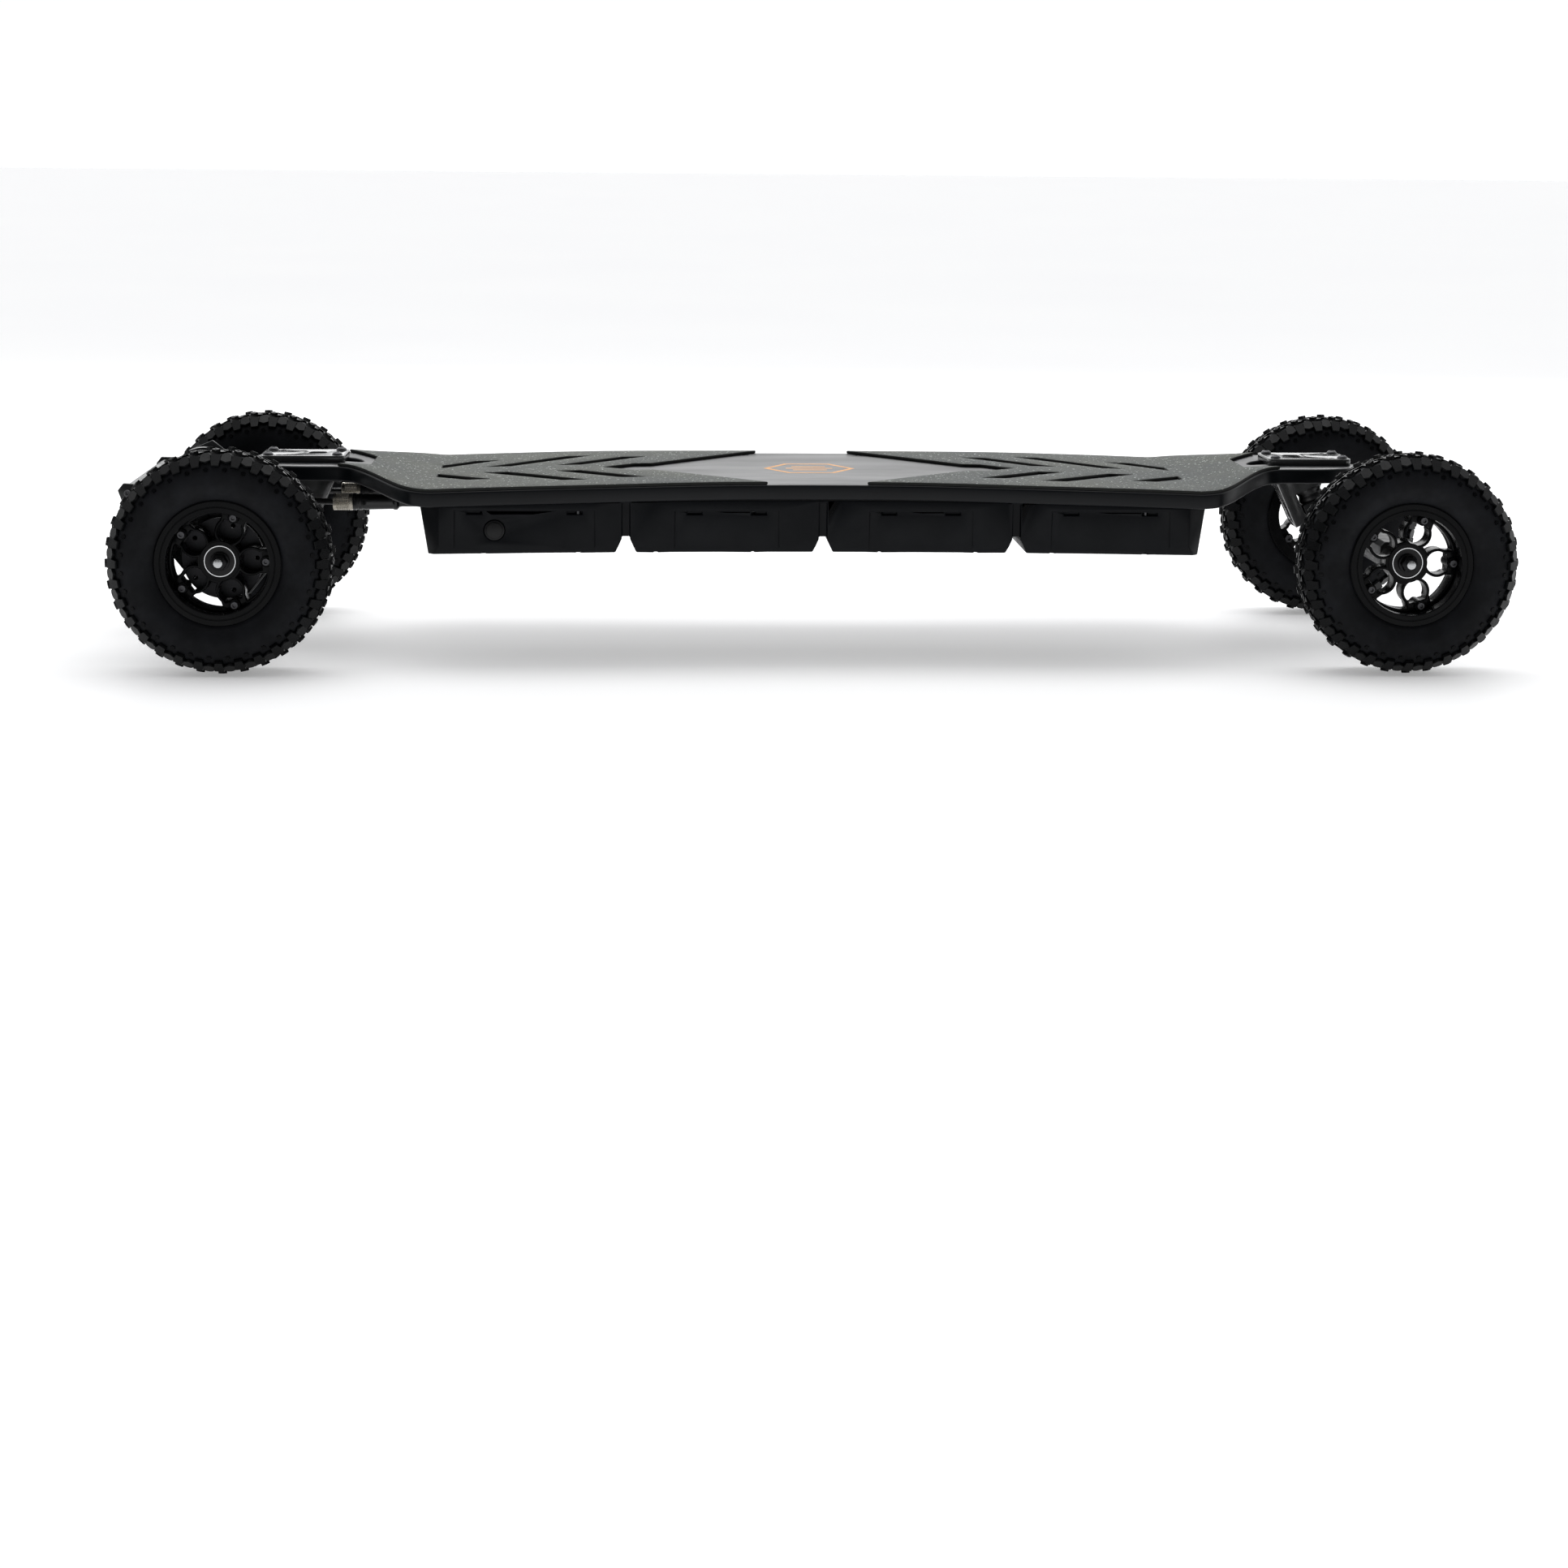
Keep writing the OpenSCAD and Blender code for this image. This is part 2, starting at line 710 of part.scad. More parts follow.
// Web from the eye down to the bar, one each side of the kingpin
module hanger_cheek() {
    translate([axle_x, cheek_in, axle_z]) rotate([-90, 0, 0]) linear_extrude(16)
        polygon([[-12, 0], [-12, -12], [-17, -22], [6, -22], [12, -12], [12, 0], [8, 11], [-8, 11]]);
}

module bar_section() {
    b = bar_half;
    c = bar_chamfer;
    polygon([[-b, -b + c], [-b + c, -b], [b - c, -b], [b, -b + c],
        [b, b - c], [b - c, b], [-b + c, b], [-b, b - c]]);
}

module hanger_centre() {
    hanger_eye();
    both_sides() hanger_cheek();
}

module front_hanger() {
    color("#55585b") difference() {
        union() {
            hanger_centre();
            both_sides() translate([axle_x, hanger_end, axle_z]) rotate([90, 0, 0])
                linear_extrude(hanger_end - cheek_in) bar_section();
            both_sides() hanger_gusset();
        }
        axle_bores(60);
    }
}

module rear_hanger() {
    color("#3d4043") difference() {
        mirror([1, 0, 0]) union() {
            hanger_centre();
            both_sides() translate([axle_x, cheek_in, axle_z]) rotate([-90, 0, 0])
                cylinder(r = 11.75, h = case_out - 6 - cheek_in - 10);
            both_sides() hanger_gusset();
        }
        mirror([1, 0, 0]) axle_bores(60);
    }
}

// Curved flare where the bar meets the middle, in plan
module hanger_gusset() {
    flare = 26;
    translate([axle_x, 0, axle_z - 6]) linear_extrude(12) difference() {
        translate([-11 - flare, cheek_in]) square([flare + 2, flare + 8]);
        translate([-11 - flare, cheek_in + flare + 8]) scale([1, 1.3]) circle(r = flare);
        translate([-60, 0]) square([60 - 11 - 16, 80]);
    }
}

module axle_bores(from_y) {
    both_sides() translate([axle_x, from_y, axle_z]) rotate([-90, 0, 0]) cylinder(d = axle_d, h = 100);
}

// Axle stub, spacer, washers and nut on one side, drawn for the left
module axle_stub(spacer_from) {
    translate([axle_x, 0, axle_z]) rotate([-90, 0, 0]) {
        translate([0, 0, 60]) cylinder(d = axle_d, h = hub_out + 0.3 - 60);
        translate([0, 0, hub_out + 0.3]) cylinder(r = 4, h = 13);
        translate([0, 0, spacer_from]) washer(6.8, hub_in - 5.3 - spacer_from, axle_d / 2);
        translate([0, 0, hub_in - 5.3]) washer(8.3, 5, axle_d / 2);
        translate([0, 0, hub_out + 0.3]) washer(8.5, 1.5, 4);
        translate([0, 0, hub_out + 1.8]) difference() {
            hexagon_rod(13, 7);
            translate([0, 0, -1]) cylinder(r = 4, h = 9);
        }
    }
}

module washer(r, h, bore) {
    difference() {
        cylinder(r = r, h = h);
        translate([0, 0, -1]) cylinder(r = bore, h = h + 2);
    }
}

module front_axles() {
    color("#a9adb0") both_sides() axle_stub(hanger_end);
}

module rear_axles() {
    color("#a9adb0") mirror([1, 0, 0]) both_sides() axle_stub(case_in + 3);
}

// ---- wheels -----------------------------------------------------------------------------------
rim_r = 48;
flange_r = 55.5;
flange_half = 23;
web_in = -14;
web_out = 6;
hub_r = 18;
bearing_r = 14;
hole_ring = 27.5;
bolt_ring_r = 40.5;
boss_r = 4;
boss_h = 2;
tyre_half = tyre_w / 2;

// Places a wheel part built along +Z (outwards) on one wheel
module on_wheel(end, side) {
    translate([end * axle_x, side * track / 2, axle_z]) rotate([-90 * side, 0, 0]) children();
}

module tyre() {
    r = tyre_d / 2;
    w = tyre_half;
    color("#1f2022") rotate_extrude($fn = 128) difference() {
        polygon([[rim_r, -21], [flange_r + 1, -21], [flange_r + 8, -w + 3], [r - 32, -w + 0.3],
            [r - 22, -w],
            [r - 11, -w + 1], [r - 3, -w + 8], [r - 0.6, -w + 17], [r, -w + 24],
            [r, w - 24], [r - 0.6, w - 17], [r - 3, w - 8], [r - 11, w - 1],
            [r - 22, w], [r - 32, w - 0.3], [flange_r + 8, w - 3], [flange_r + 1, 21], [rim_r, 21]]);
        polygon([[rim_r + 4, -16], [flange_r + 8, -w + 8], [r - 22, -w + 5], [r - 9, -w + 9], [r - 8, 0],
            [r - 9, w - 9], [r - 22, w - 5], [flange_r + 8, w - 8], [rim_r + 4, 16]]);
    }
}

module bolt_ring() {
    for (k = [0:4]) rotate(72 * k) translate([bolt_ring_r, 0, 0]) children();
}

module rim_openings() {
    for (k = [0:4]) rotate(72 * k) {
        translate([hole_ring, 0]) circle(r = 10.4);
        translate([hole_ring, -8]) square([9, 16]);
    }
    difference() {
        circle(r = 42.3);
        circle(r = 19.8);
        for (k = [0:4]) rotate(72 * k) {
            translate([hole_ring, 0]) circle(r = 13);
            translate([hole_ring, -11]) square([16, 22]);
        }
    }
}

module rim() {
    color("#242528") difference() {
        union() {
            rotate_extrude($fn = 96) polygon([[45, -flange_half], [flange_r, -flange_half],
                [flange_r, -21], [rim_r, -21], [rim_r, 21], [flange_r, 21],
                [flange_r, flange_half], [45, flange_half]]);
            translate([0, 0, web_in]) linear_extrude(web_out - web_in) difference() {
                circle(r = 46);
                rim_openings();
            }
            translate([0, 0, -20]) cylinder(r = hub_r, h = 27);
            bolt_ring() translate([0, 0, web_out - 4]) cylinder(r = boss_r, h = 4 + boss_h);
        }
        translate([0, 0, -21]) cylinder(r = 12, h = 40);
        translate([0, 0, -21]) cylinder(r = bearing_r, h = 9);
        translate([0, 0, -1]) cylinder(r = bearing_r, h = 20);
        bolt_ring() translate([0, 0, -30]) cylinder(r = 2, h = 60, $fn = 24);
    }
}

module bearing() {
    difference() {
        cylinder(r = bearing_r, h = 8);
        translate([0, 0, -1]) cylinder(r = axle_d / 2 + running, h = 10);
        for (z = [-1, 7.3]) translate([0, 0, z]) difference() {
            cylinder(r = 12, h = 1.7);
            cylinder(r = 8, h = 1.7);
        }
    }
}

module bearings() {
    color("#a3a6a8") for (z = [-20, -1]) translate([0, 0, z]) bearing();
}

module rim_bolts() {
    color("#6c7074") bolt_ring() {
        translate([0, 0, web_out + boss_h]) cap_screw(3.4, 3.4, 2, web_out + boss_h - web_in + 4);
        translate([0, 0, web_in - 3.2]) difference() {
            hexagon_rod(7, 3.2);
            translate([0, 0, -1]) cylinder(r = 2, h = 6);
        }
    }
}

// ---- gears ------------------------------------------------------------------------------------
backlash = 0.34;
function involute(phi) = tan(phi) * 180 / PI - phi;
function tooth_half(n, r) =
    let (rp = gear_m * n / 2, rb = rp * cos(20), phi = r > rb ? acos(rb / r) : 0)
    90 / n - backlash / rp * 90 / PI + involute(20) - involute(phi);
function tooth_radii(n) =
    let (rp = gear_m * n / 2, rb = rp * cos(20), tip = rp + 0.85 * gear_m)
    [rp - 1.2 * gear_m, max(rb, rp - 0.6 * gear_m), rp, rp + 0.45 * gear_m, tip];

module gear_outline(n) {
    radii = tooth_radii(n);
    polygon([for (k = [0:n - 1]) each concat(
        [for (j = [0:4]) let (a = 360 * k / n - tooth_half(n, radii[j])) radii[j] * [cos(a), sin(a)]],
        [for (j = [4:-1:0]) let (a = 360 * k / n + tooth_half(n, radii[j])) radii[j] * [cos(a), sin(a)]]
    )]);
}

// Drive frame of one side: +X from the axle to the motor, +Z outwards from the middle of the board
module drive_frame(side) {
    translate([-axle_x, 0, axle_z]) scale([1, side, 1]) rotate([-90, 0, 0])
        rotate([0, 0, 180 + gear_angle]) children();
}

module wheel_gear(side) {
    color("#777b80") drive_frame(side) difference() {
        union() {
            translate([0, 0, gear_in]) linear_extrude(gear_out - gear_in) gear_outline(wheel_teeth);
            translate([0, 0, gear_out - 1]) cylinder(r = 21, h = track / 2 + web_in - gear_out + 1);
            translate([0, 0, track / 2 + web_in - 3.5]) cylinder(r = 36, h = 3.5);
        }
        translate([0, 0, gear_in - 1]) cylinder(r = 9, h = gear_out - gear_in + 3);
        translate([0, 0, gear_out + 1]) cylinder(r = hub_r + 0.2, h = 60);
        for (k = [0:4]) rotate(72 * k + 36 - gear_angle) translate([30, 0, 0])
            cylinder(r = 2.2, h = 300, $fn = 24);
    }
}

module idler(side) {
    color("#8a8e92") drive_frame(side) translate([idler_at, 0, gear_in]) difference() {
        rotate(180 + 180 / idler_teeth) linear_extrude(gear_out - gear_in) gear_outline(idler_teeth);
        translate([0, 0, -1]) cylinder(r = 5 + running, h = 20);
    }
}

module rotor(side) {
    color("#101113") drive_frame(side) translate([motor_at, 0, can_in])
        rotate_extrude($fn = 96) polygon([[shaft_r, 0], [can_d / 2 - 3, 0], [can_d / 2, 3],
            [can_d / 2, can_out - can_in], [can_d / 2 - 2.6, can_out - can_in],
            [can_d / 2 - 2.6, 4.5], [shaft_r, 4.5]]);
    color("#b4b8ba") drive_frame(side) translate([motor_at, 0, 0]) {
        translate([0, 0, can_in - 3]) cylinder(r = shaft_r, h = gear_in - can_in + 3.5);
        translate([0, 0, gear_in]) rotate(180) linear_extrude(gear_out - gear_in + 1)
            gear_outline(pinion_teeth);
    }
}

module motor_stators() {
    for (side = [right, left]) drive_frame(side) translate([motor_at, 0, 0]) {
        color("#202225") difference() {
            union() {
                translate([0, 0, can_out + 0.6])
                    cylinder(r = base_r, h = base_out - can_out - 0.6, $fn = 96);
                translate([0, 0, can_in + 8]) cylinder(r = 9, h = 60);
            }
            cylinder(r = shaft_r + running, h = 150);
        }
        color("#b87333") translate([0, 0, can_in + 9]) difference() {
            cylinder(r = 26.5, h = 48);
            translate([0, 0, -1]) cylinder(r = 9, h = 60);
            for (k = [0:11]) rotate(30 * k) translate([12, -1.2, -1]) cube([12, 2.4, 60]);
        }
    }
}

// ---- drive housings ---------------------------------------------------------------------------
module case_outline(grow) {
    g = grow;
    polygon([[-38 - g, -17], [-17, -38 - g], [16, -38 - g], [60, -27 - g], [80, -21 - g], [85 + g, -9],
        [85 + g, 9], [80, 21 + g], [60, 27 + g], [16, 38 + g], [-17, 38 + g], [-38 - g, 17]]);
}

module case_cavity() {
    circle(r = 30.5);
    translate([idler_at, 0]) circle(r = 16.5);
    translate([motor_at, 0]) circle(r = 12);
    translate([18, -15]) square([30, 30]);
    translate([idler_at, -11]) square([motor_at - idler_at, 22]);
}

cover_bolts = [[-28, -22], [-28, 22], [12, -33.5], [12, 33.5], [58, -20.5], [58, 20.5], [80, 0]];

module gear_cases() {
    for (side = [right, left]) drive_frame(side) {
        color("#4a4d50") difference() {
            translate([0, 0, case_in]) linear_extrude(case_out - case_in) case_outline(0);
            translate([0, 0, case_in + 3]) linear_extrude(40) case_cavity();
            translate([0, 0, case_in - 1]) cylinder(r = 11.75, h = 8);
            translate([motor_at, 0, case_in - 1]) cylinder(r = 7, h = 8);
            translate([idler_at, 0, case_in - 1]) cylinder(r = 5, h = 8);
            for (p = cover_bolts) translate([p[0], p[1], case_in + 5]) cylinder(r = 1.6, h = 40, $fn = 24);
        }
        color("#b4b8ba") translate([idler_at, 0, case_in]) cylinder(r = 5, h = case_out - case_in);
    }
}

module gear_covers() {
    color("#2c2e31") for (side = [right, left]) drive_frame(side) difference() {
        translate([0, 0, case_out]) linear_extrude(cover_out - case_out) case_outline(-1);
        translate([0, 0, case_out - 1]) cylinder(r = 22.5, h = 10);
        for (p = cover_bolts) translate([p[0], p[1], case_out - 1]) cylinder(r = 1.6, h = 40, $fn = 24);
    }
}

module motor_plates() {
    color("#55585c") for (side = [right, left]) drive_frame(side) difference() {
        union() {
            translate([0, 0, base_out]) linear_extrude(case_in - base_out) {
                polygon([[-8, -26], [8, -26], [44, -34], [82, -34], [94, -12], [94, 12], [82, 34], [44, 34],
                    [8, 26], [-8, 26], [-26, 8], [-26, -8]]);
            }
            translate([0, 0, case_in - 20]) cylinder(r = 24.5, h = 13);
            translate([0, 0, case_in - 8]) cylinder(r = 21, h = 5);
        }
        translate([0, 0, 60]) cylinder(r = 11.75, h = 60);
        translate([motor_at, 0, base_out - 1]) cylinder(r = 7, h = 10);
        for (k = [0:3]) translate([motor_at, 0, 0]) rotate(45 + 90 * k) translate([15, 0, base_out - 1])
            cylinder(r = 2, h = 10, $fn = 24);
    }
}

module drive_screws() {
    color("#7c8084") for (side = [right, left]) drive_frame(side) {
        for (p = cover_bolts) translate([p[0], p[1], cover_out]) cap_screw(3, 3, 1.6, 14);
        for (p = [guard_at, [90.5, -9]]) translate([p[0], p[1], case_in + bracket_t])
            cylinder(r = 3.6, h = 3.6);
    }
}

// ---- rear guard -------------------------------------------------------------------------------
// Bracket outline in the drive frame: bolted to the motor plate, reaching out to the bar
guard_at = [102.5, -14];
bracket_t = 5;

module rear_guard() {
    color("#3a3c40") for (side = [right, left]) drive_frame(side) {
        translate([guard_at[0], guard_at[1], 0]) cylinder(r = guard_r, h = case_in);
        translate([0, 0, case_in]) linear_extrude(bracket_t)
            polygon([[86.4, -21], [103, -23], [111, -18], [111, -10], [104, -5], [92, 4], [86.4, 4]]);
    }
}

// ---- the assembly -----------------------------------------------------------------------------
deck();
front_grip();
rear_grip();
deck_inlay();
battery_tray();
tray_gasket();
tray_screws();
battery_cells();
battery_board();
speed_controller();
charge_port();
power_button();
cable_connectors();
cable_boots();
trunk_leads();
at_end(front) truck_base();  // front_truck_base
at_end(rear) truck_base();  // rear_truck_base
truck_bolts();
inner_kingpins();
at_end(front) inner_bushings();  // front_inner_bushings
at_end(rear) inner_bushings();  // rear_inner_bushings
at_end(front) arm();  // front_arm
at_end(front) outer_kingpin();  // front_outer_kingpin
at_end(front) outer_bushings();  // front_outer_bushings
at_end(rear) arm();  // rear_arm
at_end(rear) outer_kingpin();  // rear_outer_kingpin
at_end(rear) outer_bushings();  // rear_outer_bushings
front_hanger();
front_axles();
rear_hanger();
rear_axles();
gear_cases();
gear_covers();
motor_plates();
motor_stators();
rear_guard();
drive_screws();
motor_leads();
on_wheel(front, right) tyre();  // front_right_tyre
on_wheel(front, right) rim();  // front_right_rim
on_wheel(front, right) bearings();  // front_right_bearings
on_wheel(front, right) rim_bolts();  // front_right_rim_bolts
on_wheel(front, left) tyre();  // front_left_tyre
on_wheel(front, left) rim();  // front_left_rim
on_wheel(front, left) bearings();  // front_left_bearings
on_wheel(front, left) rim_bolts();  // front_left_rim_bolts
on_wheel(rear, right) tyre();  // rear_right_tyre
on_wheel(rear, right) rim();  // rear_right_rim
on_wheel(rear, right) bearings();  // rear_right_bearings
on_wheel(rear, right) rim_bolts();  // rear_right_rim_bolts
on_wheel(rear, left) tyre();  // rear_left_tyre
on_wheel(rear, left) rim();  // rear_left_rim
on_wheel(rear, left) bearings();  // rear_left_bearings
on_wheel(rear, left) rim_bolts();  // rear_left_rim_bolts
wheel_gear(right);  // right_wheel_gear
wheel_gear(left);  // left_wheel_gear
idler(right);  // right_idler
idler(left);  // left_idler
rotor(right);  // right_rotor
rotor(left);  // left_rotor
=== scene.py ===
"""Looks of an off-road electric skateboard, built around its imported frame.

The frame gives every place and size that moves or fits. The classes here add the smooth
deck, the foam grips, the knobbed tyres, the rims, the flexing cables and every finish.
+X points to the nose, +Y to the left, +Z up; lengths in the classes are millimetres.
"""

import json
import logging
import math
from dataclasses import dataclass, field
from enum import Enum
from typing import Callable, Optional, Sequence

import bmesh
import bpy
import numpy as np
from mathutils import Matrix, Vector
from mathutils.geometry import delaunay_2d_cdt

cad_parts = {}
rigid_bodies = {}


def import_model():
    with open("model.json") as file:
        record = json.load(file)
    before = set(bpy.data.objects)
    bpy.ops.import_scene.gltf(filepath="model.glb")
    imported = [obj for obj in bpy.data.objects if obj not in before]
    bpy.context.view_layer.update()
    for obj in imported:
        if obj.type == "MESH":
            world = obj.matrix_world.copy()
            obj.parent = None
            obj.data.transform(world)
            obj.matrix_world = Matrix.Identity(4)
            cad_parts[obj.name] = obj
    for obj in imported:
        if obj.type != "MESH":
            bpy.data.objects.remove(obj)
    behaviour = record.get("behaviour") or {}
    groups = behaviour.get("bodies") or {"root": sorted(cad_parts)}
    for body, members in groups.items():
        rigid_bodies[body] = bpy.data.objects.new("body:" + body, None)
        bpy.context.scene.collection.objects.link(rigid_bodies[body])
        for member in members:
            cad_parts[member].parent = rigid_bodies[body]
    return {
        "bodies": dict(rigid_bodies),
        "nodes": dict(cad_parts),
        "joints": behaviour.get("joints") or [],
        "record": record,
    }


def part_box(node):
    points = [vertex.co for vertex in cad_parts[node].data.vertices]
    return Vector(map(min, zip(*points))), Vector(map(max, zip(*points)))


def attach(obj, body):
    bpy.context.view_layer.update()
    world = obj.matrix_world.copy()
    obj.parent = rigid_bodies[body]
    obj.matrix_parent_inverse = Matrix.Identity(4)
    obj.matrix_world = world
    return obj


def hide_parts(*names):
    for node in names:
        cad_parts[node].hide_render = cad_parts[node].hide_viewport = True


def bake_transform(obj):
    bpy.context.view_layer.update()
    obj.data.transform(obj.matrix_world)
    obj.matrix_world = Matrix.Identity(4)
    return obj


LOG = logging.getLogger("skateboard")
MM = 0.001
SHARP = math.radians(32)
Flat = tuple[float, float]
Spot = tuple[float, float, float]
Stop = tuple[float, float, float, float]
Height = Callable[[float, float], float]


class End(Enum):
    """The two ends of the board, valued by the sign of their X."""

    FRONT = 1
    REAR = -1

    @property
    def word(self) -> str:
        """The end's name as the frame spells it."""
        return self.name.lower()


class Side(Enum):
    """The two sides of the board, valued by the sign of their Y."""

    RIGHT = -1
    LEFT = 1

    @property
    def word(self) -> str:
        """The side's name as the frame spells it."""
        return self.name.lower()


# ---- finishes ---------------------------------------------------------------------------------
class Shader:
    """One Principled material and the nodes wired into it."""

    def __init__(self, name: str) -> None:
        """Starts an empty material of that name."""
        self.material = bpy.data.materials.new(name)
        self.material.use_nodes = True
        self.tree = self.material.node_tree
        self.surface = self.tree.nodes["Principled BSDF"]
        self.place = self.tree.nodes.new("ShaderNodeTexCoord").outputs["Object"]

    def set(self, **values: object) -> None:
        """Sets sockets of the Principled shader, with _ for a space in the name."""
        for name, value in values.items():
            self.surface.inputs[name.replace("_", " ")].default_value = value

    def join(self, output: bpy.types.NodeSocket, name: str) -> None:
        """Wires an output into a socket of the Principled shader."""
        self.tree.links.new(output, self.surface.inputs[name])

    def stretched(self, scale: Spot) -> bpy.types.NodeSocket:
        """The object's coordinates, scaled on each axis."""
        node = self.tree.nodes.new("ShaderNodeMapping")
        node.inputs["Scale"].default_value = scale
        self.tree.links.new(self.place, node.inputs["Vector"])
        return node.outputs["Vector"]

    def noise(self, size: float, detail: float = 2.0, stretch: Spot = (1, 1, 1)) -> bpy.types.NodeSocket:
        """Soft noise whose blobs are about size millimetres across."""
        node = self.tree.nodes.new("ShaderNodeTexNoise")
        node.inputs["Scale"].default_value = 1 / (size * MM)
        node.inputs["Detail"].default_value = detail
        self.tree.links.new(self.stretched(stretch), node.inputs["Vector"])
        return node.outputs["Fac"]

    def grains(self, size: float) -> bpy.types.NodeSocket:
        """A random colour for each grain of about size millimetres."""
        node = self.tree.nodes.new("ShaderNodeTexVoronoi")
        node.inputs["Scale"].default_value = 1 / (size * MM)
        self.tree.links.new(self.place, node.inputs["Vector"])
        return node.outputs["Color"]

    def ramp(self, value: bpy.types.NodeSocket, stops: Sequence[Stop]) -> bpy.types.NodeSocket:
        """Turns a value into a colour.

        Args:
            value: the socket that is read.
            stops: position, red, green and blue of each stop.

        Returns:
            The colour socket.
        """
        node = self.tree.nodes.new("ShaderNodeValToRGB")
        line = node.color_ramp.elements
        while len(line) < len(stops):
            line.new(0.5)
        for element, (at, *rgb) in zip(line, stops):
            element.position = at
            element.color = (*rgb, 1)
        self.tree.links.new(value, node.inputs["Fac"])
        return node.outputs["Color"]

    def blend(self, mode: str, share: object, first: object, second: object) -> bpy.types.NodeSocket:
        """Mixes two colours; each argument is a socket or a plain value."""
        node = self.tree.nodes.new("ShaderNodeMixRGB")
        node.blend_type = mode
        for name, value in (("Fac", share), ("Color1", first), ("Color2", second)):
            if isinstance(value, bpy.types.NodeSocket):
                self.tree.links.new(value, node.inputs[name])
            else:
                node.inputs[name].default_value = value
        return node.outputs["Color"]

    def remap(self, value: bpy.types.NodeSocket, low: float, high: float) -> bpy.types.NodeSocket:
        """Spreads a noise value over a range."""
        node = self.tree.nodes.new("ShaderNodeMapRange")
        node.inputs["From Min"].default_value = 0.3
        node.inputs["From Max"].default_value = 0.7
        node.inputs["To Min"].default_value = low
        node.inputs["To Max"].default_value = high
        self.tree.links.new(value, node.inputs["Value"])
        return node.outputs["Result"]

    def bump(self, height: bpy.types.NodeSocket, depth: float, strength: float = 1.0) -> None:
        """Adds relief of about depth millimetres."""
        node = self.tree.nodes.new("ShaderNodeBump")
        node.inputs["Distance"].default_value = depth * MM
        node.inputs["Strength"].default_value = strength
        self.tree.links.new(height, node.inputs["Height"])
        self.join(node.outputs["Normal"], "Normal")


@dataclass(frozen=True)
class Finish:
    """A surface finish; each kind builds its own nodes once."""

    name: str
    colour: tuple[float, float, float]
    roughness: float = 0.5
    gloss: float = 0.5
    grain: float = 0.4
    relief: float = 0.03

    def material(self) -> bpy.types.Material:
        """The finish's material, built the first time it is asked for."""
        found = bpy.data.materials.get(self.name)
        if found:
            return found
        shader = Shader(self.name)
        shader.set(Specular_IOR_Level=self.gloss)
        self.wire(shader)
        return shader.material

    def tint(self, shader: Shader, spread: float, size: float) -> None:
        """Gives the base colour a soft cloudiness.

        Args:
            shader: the material being wired.
            spread: how far the colour wanders, as a share.
            size: size of the clouds in millimetres.
        """
        low = [c * (1 - spread) for c in self.colour]
        high = [c * (1 + spread) for c in self.colour]
        shader.join(shader.ramp(shader.noise(size, 3), [(0.35, *low), (0.65, *high)]), "Base Color")

    def wire(self, shader: Shader) -> None:
        """Moulded plastic: a fine texture and slightly uneven gloss."""
        self.tint(shader, 0.12, 40)
        shader.join(shader.remap(shader.noise(18), self.roughness - 0.05, self.roughness + 0.07), "Roughness")
        shader.bump(shader.noise(self.grain, 3), self.relief)


@dataclass(frozen=True)
class Metal(Finish):
    """Bare or plated metal with fine tool marks along one axis."""

    lay: Spot = (1, 12, 1)

    def wire(self, shader: Shader) -> None:
        """Metallic base with brushed streaks in colour, gloss and relief."""
        shader.set(Metallic=1.0)
        streaks = shader.noise(1.2, 4, self.lay)
        dull = [c * 0.72 for c in self.colour]
        shader.join(shader.ramp(streaks, [(0.3, *dull), (0.7, *self.colour)]), "Base Color")
        shader.join(shader.remap(streaks, self.roughness - 0.06, self.roughness + 0.1), "Roughness")
        shader.bump(streaks, self.relief)


@dataclass(frozen=True)
class Anodised(Finish):
    """Anodised aluminium: dark, dry, with a silky blasted surface."""

    def wire(self, shader: Shader) -> None:
        """Half-metallic base with a blasted grain and rubbed patches."""
        shader.set(Metallic=0.35)
        self.tint(shader, 0.18, 25)
        rubbed = shader.noise(9, 4)
        shader.join(shader.remap(rubbed, self.roughness - 0.07, self.roughness + 0.08), "Roughness")
        shader.bump(shader.noise(0.35, 2), self.relief)


@dataclass(frozen=True)
class GripFoam(Finish):
    """Granular grip: olive-grey grains, a few of them painted pale as glints."""

    sparkle: tuple[float, float, float] = (0.42, 0.45, 0.43)

    def wire(self, shader: Shader) -> None:
        """Grains of several greys, with painted glints on a few of them, over broad scuffed clouds."""
        dark = [c * 0.55 for c in self.colour]
        light = [c * 1.45 for c in self.colour]
        fine = shader.ramp(shader.grains(0.7), [(0.2, *dark), (0.8, *light)])
        scuffs = shader.ramp(shader.noise(130, 5), [(0.36, 0.72, 0.76, 0.8), (0.64, 1.16, 1.13, 1.0)])
        base = shader.blend("MULTIPLY", 1.0, fine, scuffs)
        # Painted glints: a few grains get a pale grey colour where the grit would catch the light.
        painted_glints = shader.ramp(shader.grains(1.5), [(0.84, 0, 0, 0), (0.92, 1, 1, 1)])
        shader.join(shader.blend("MIX", painted_glints, base, (*self.sparkle, 1)), "Base Color")
        shader.set(Roughness=self.roughness)
        shader.bump(shader.noise(0.8, 3), self.relief)


@dataclass(frozen=True)
class Lacquer(Finish):
    """Satin lacquer on the deck, with a faint wiped haze."""

    def wire(self, shader: Shader) -> None:
        """Smooth dark coat whose gloss wanders in long wipes."""
        self.tint(shader, 0.15, 90)
        wipes = shader.noise(60, 5, (0.5, 1.6, 1))
        shader.join(shader.remap(wipes, self.roughness - 0.06, self.roughness + 0.08), "Roughness")
        shader.bump(shader.noise(1.6, 3), self.relief)


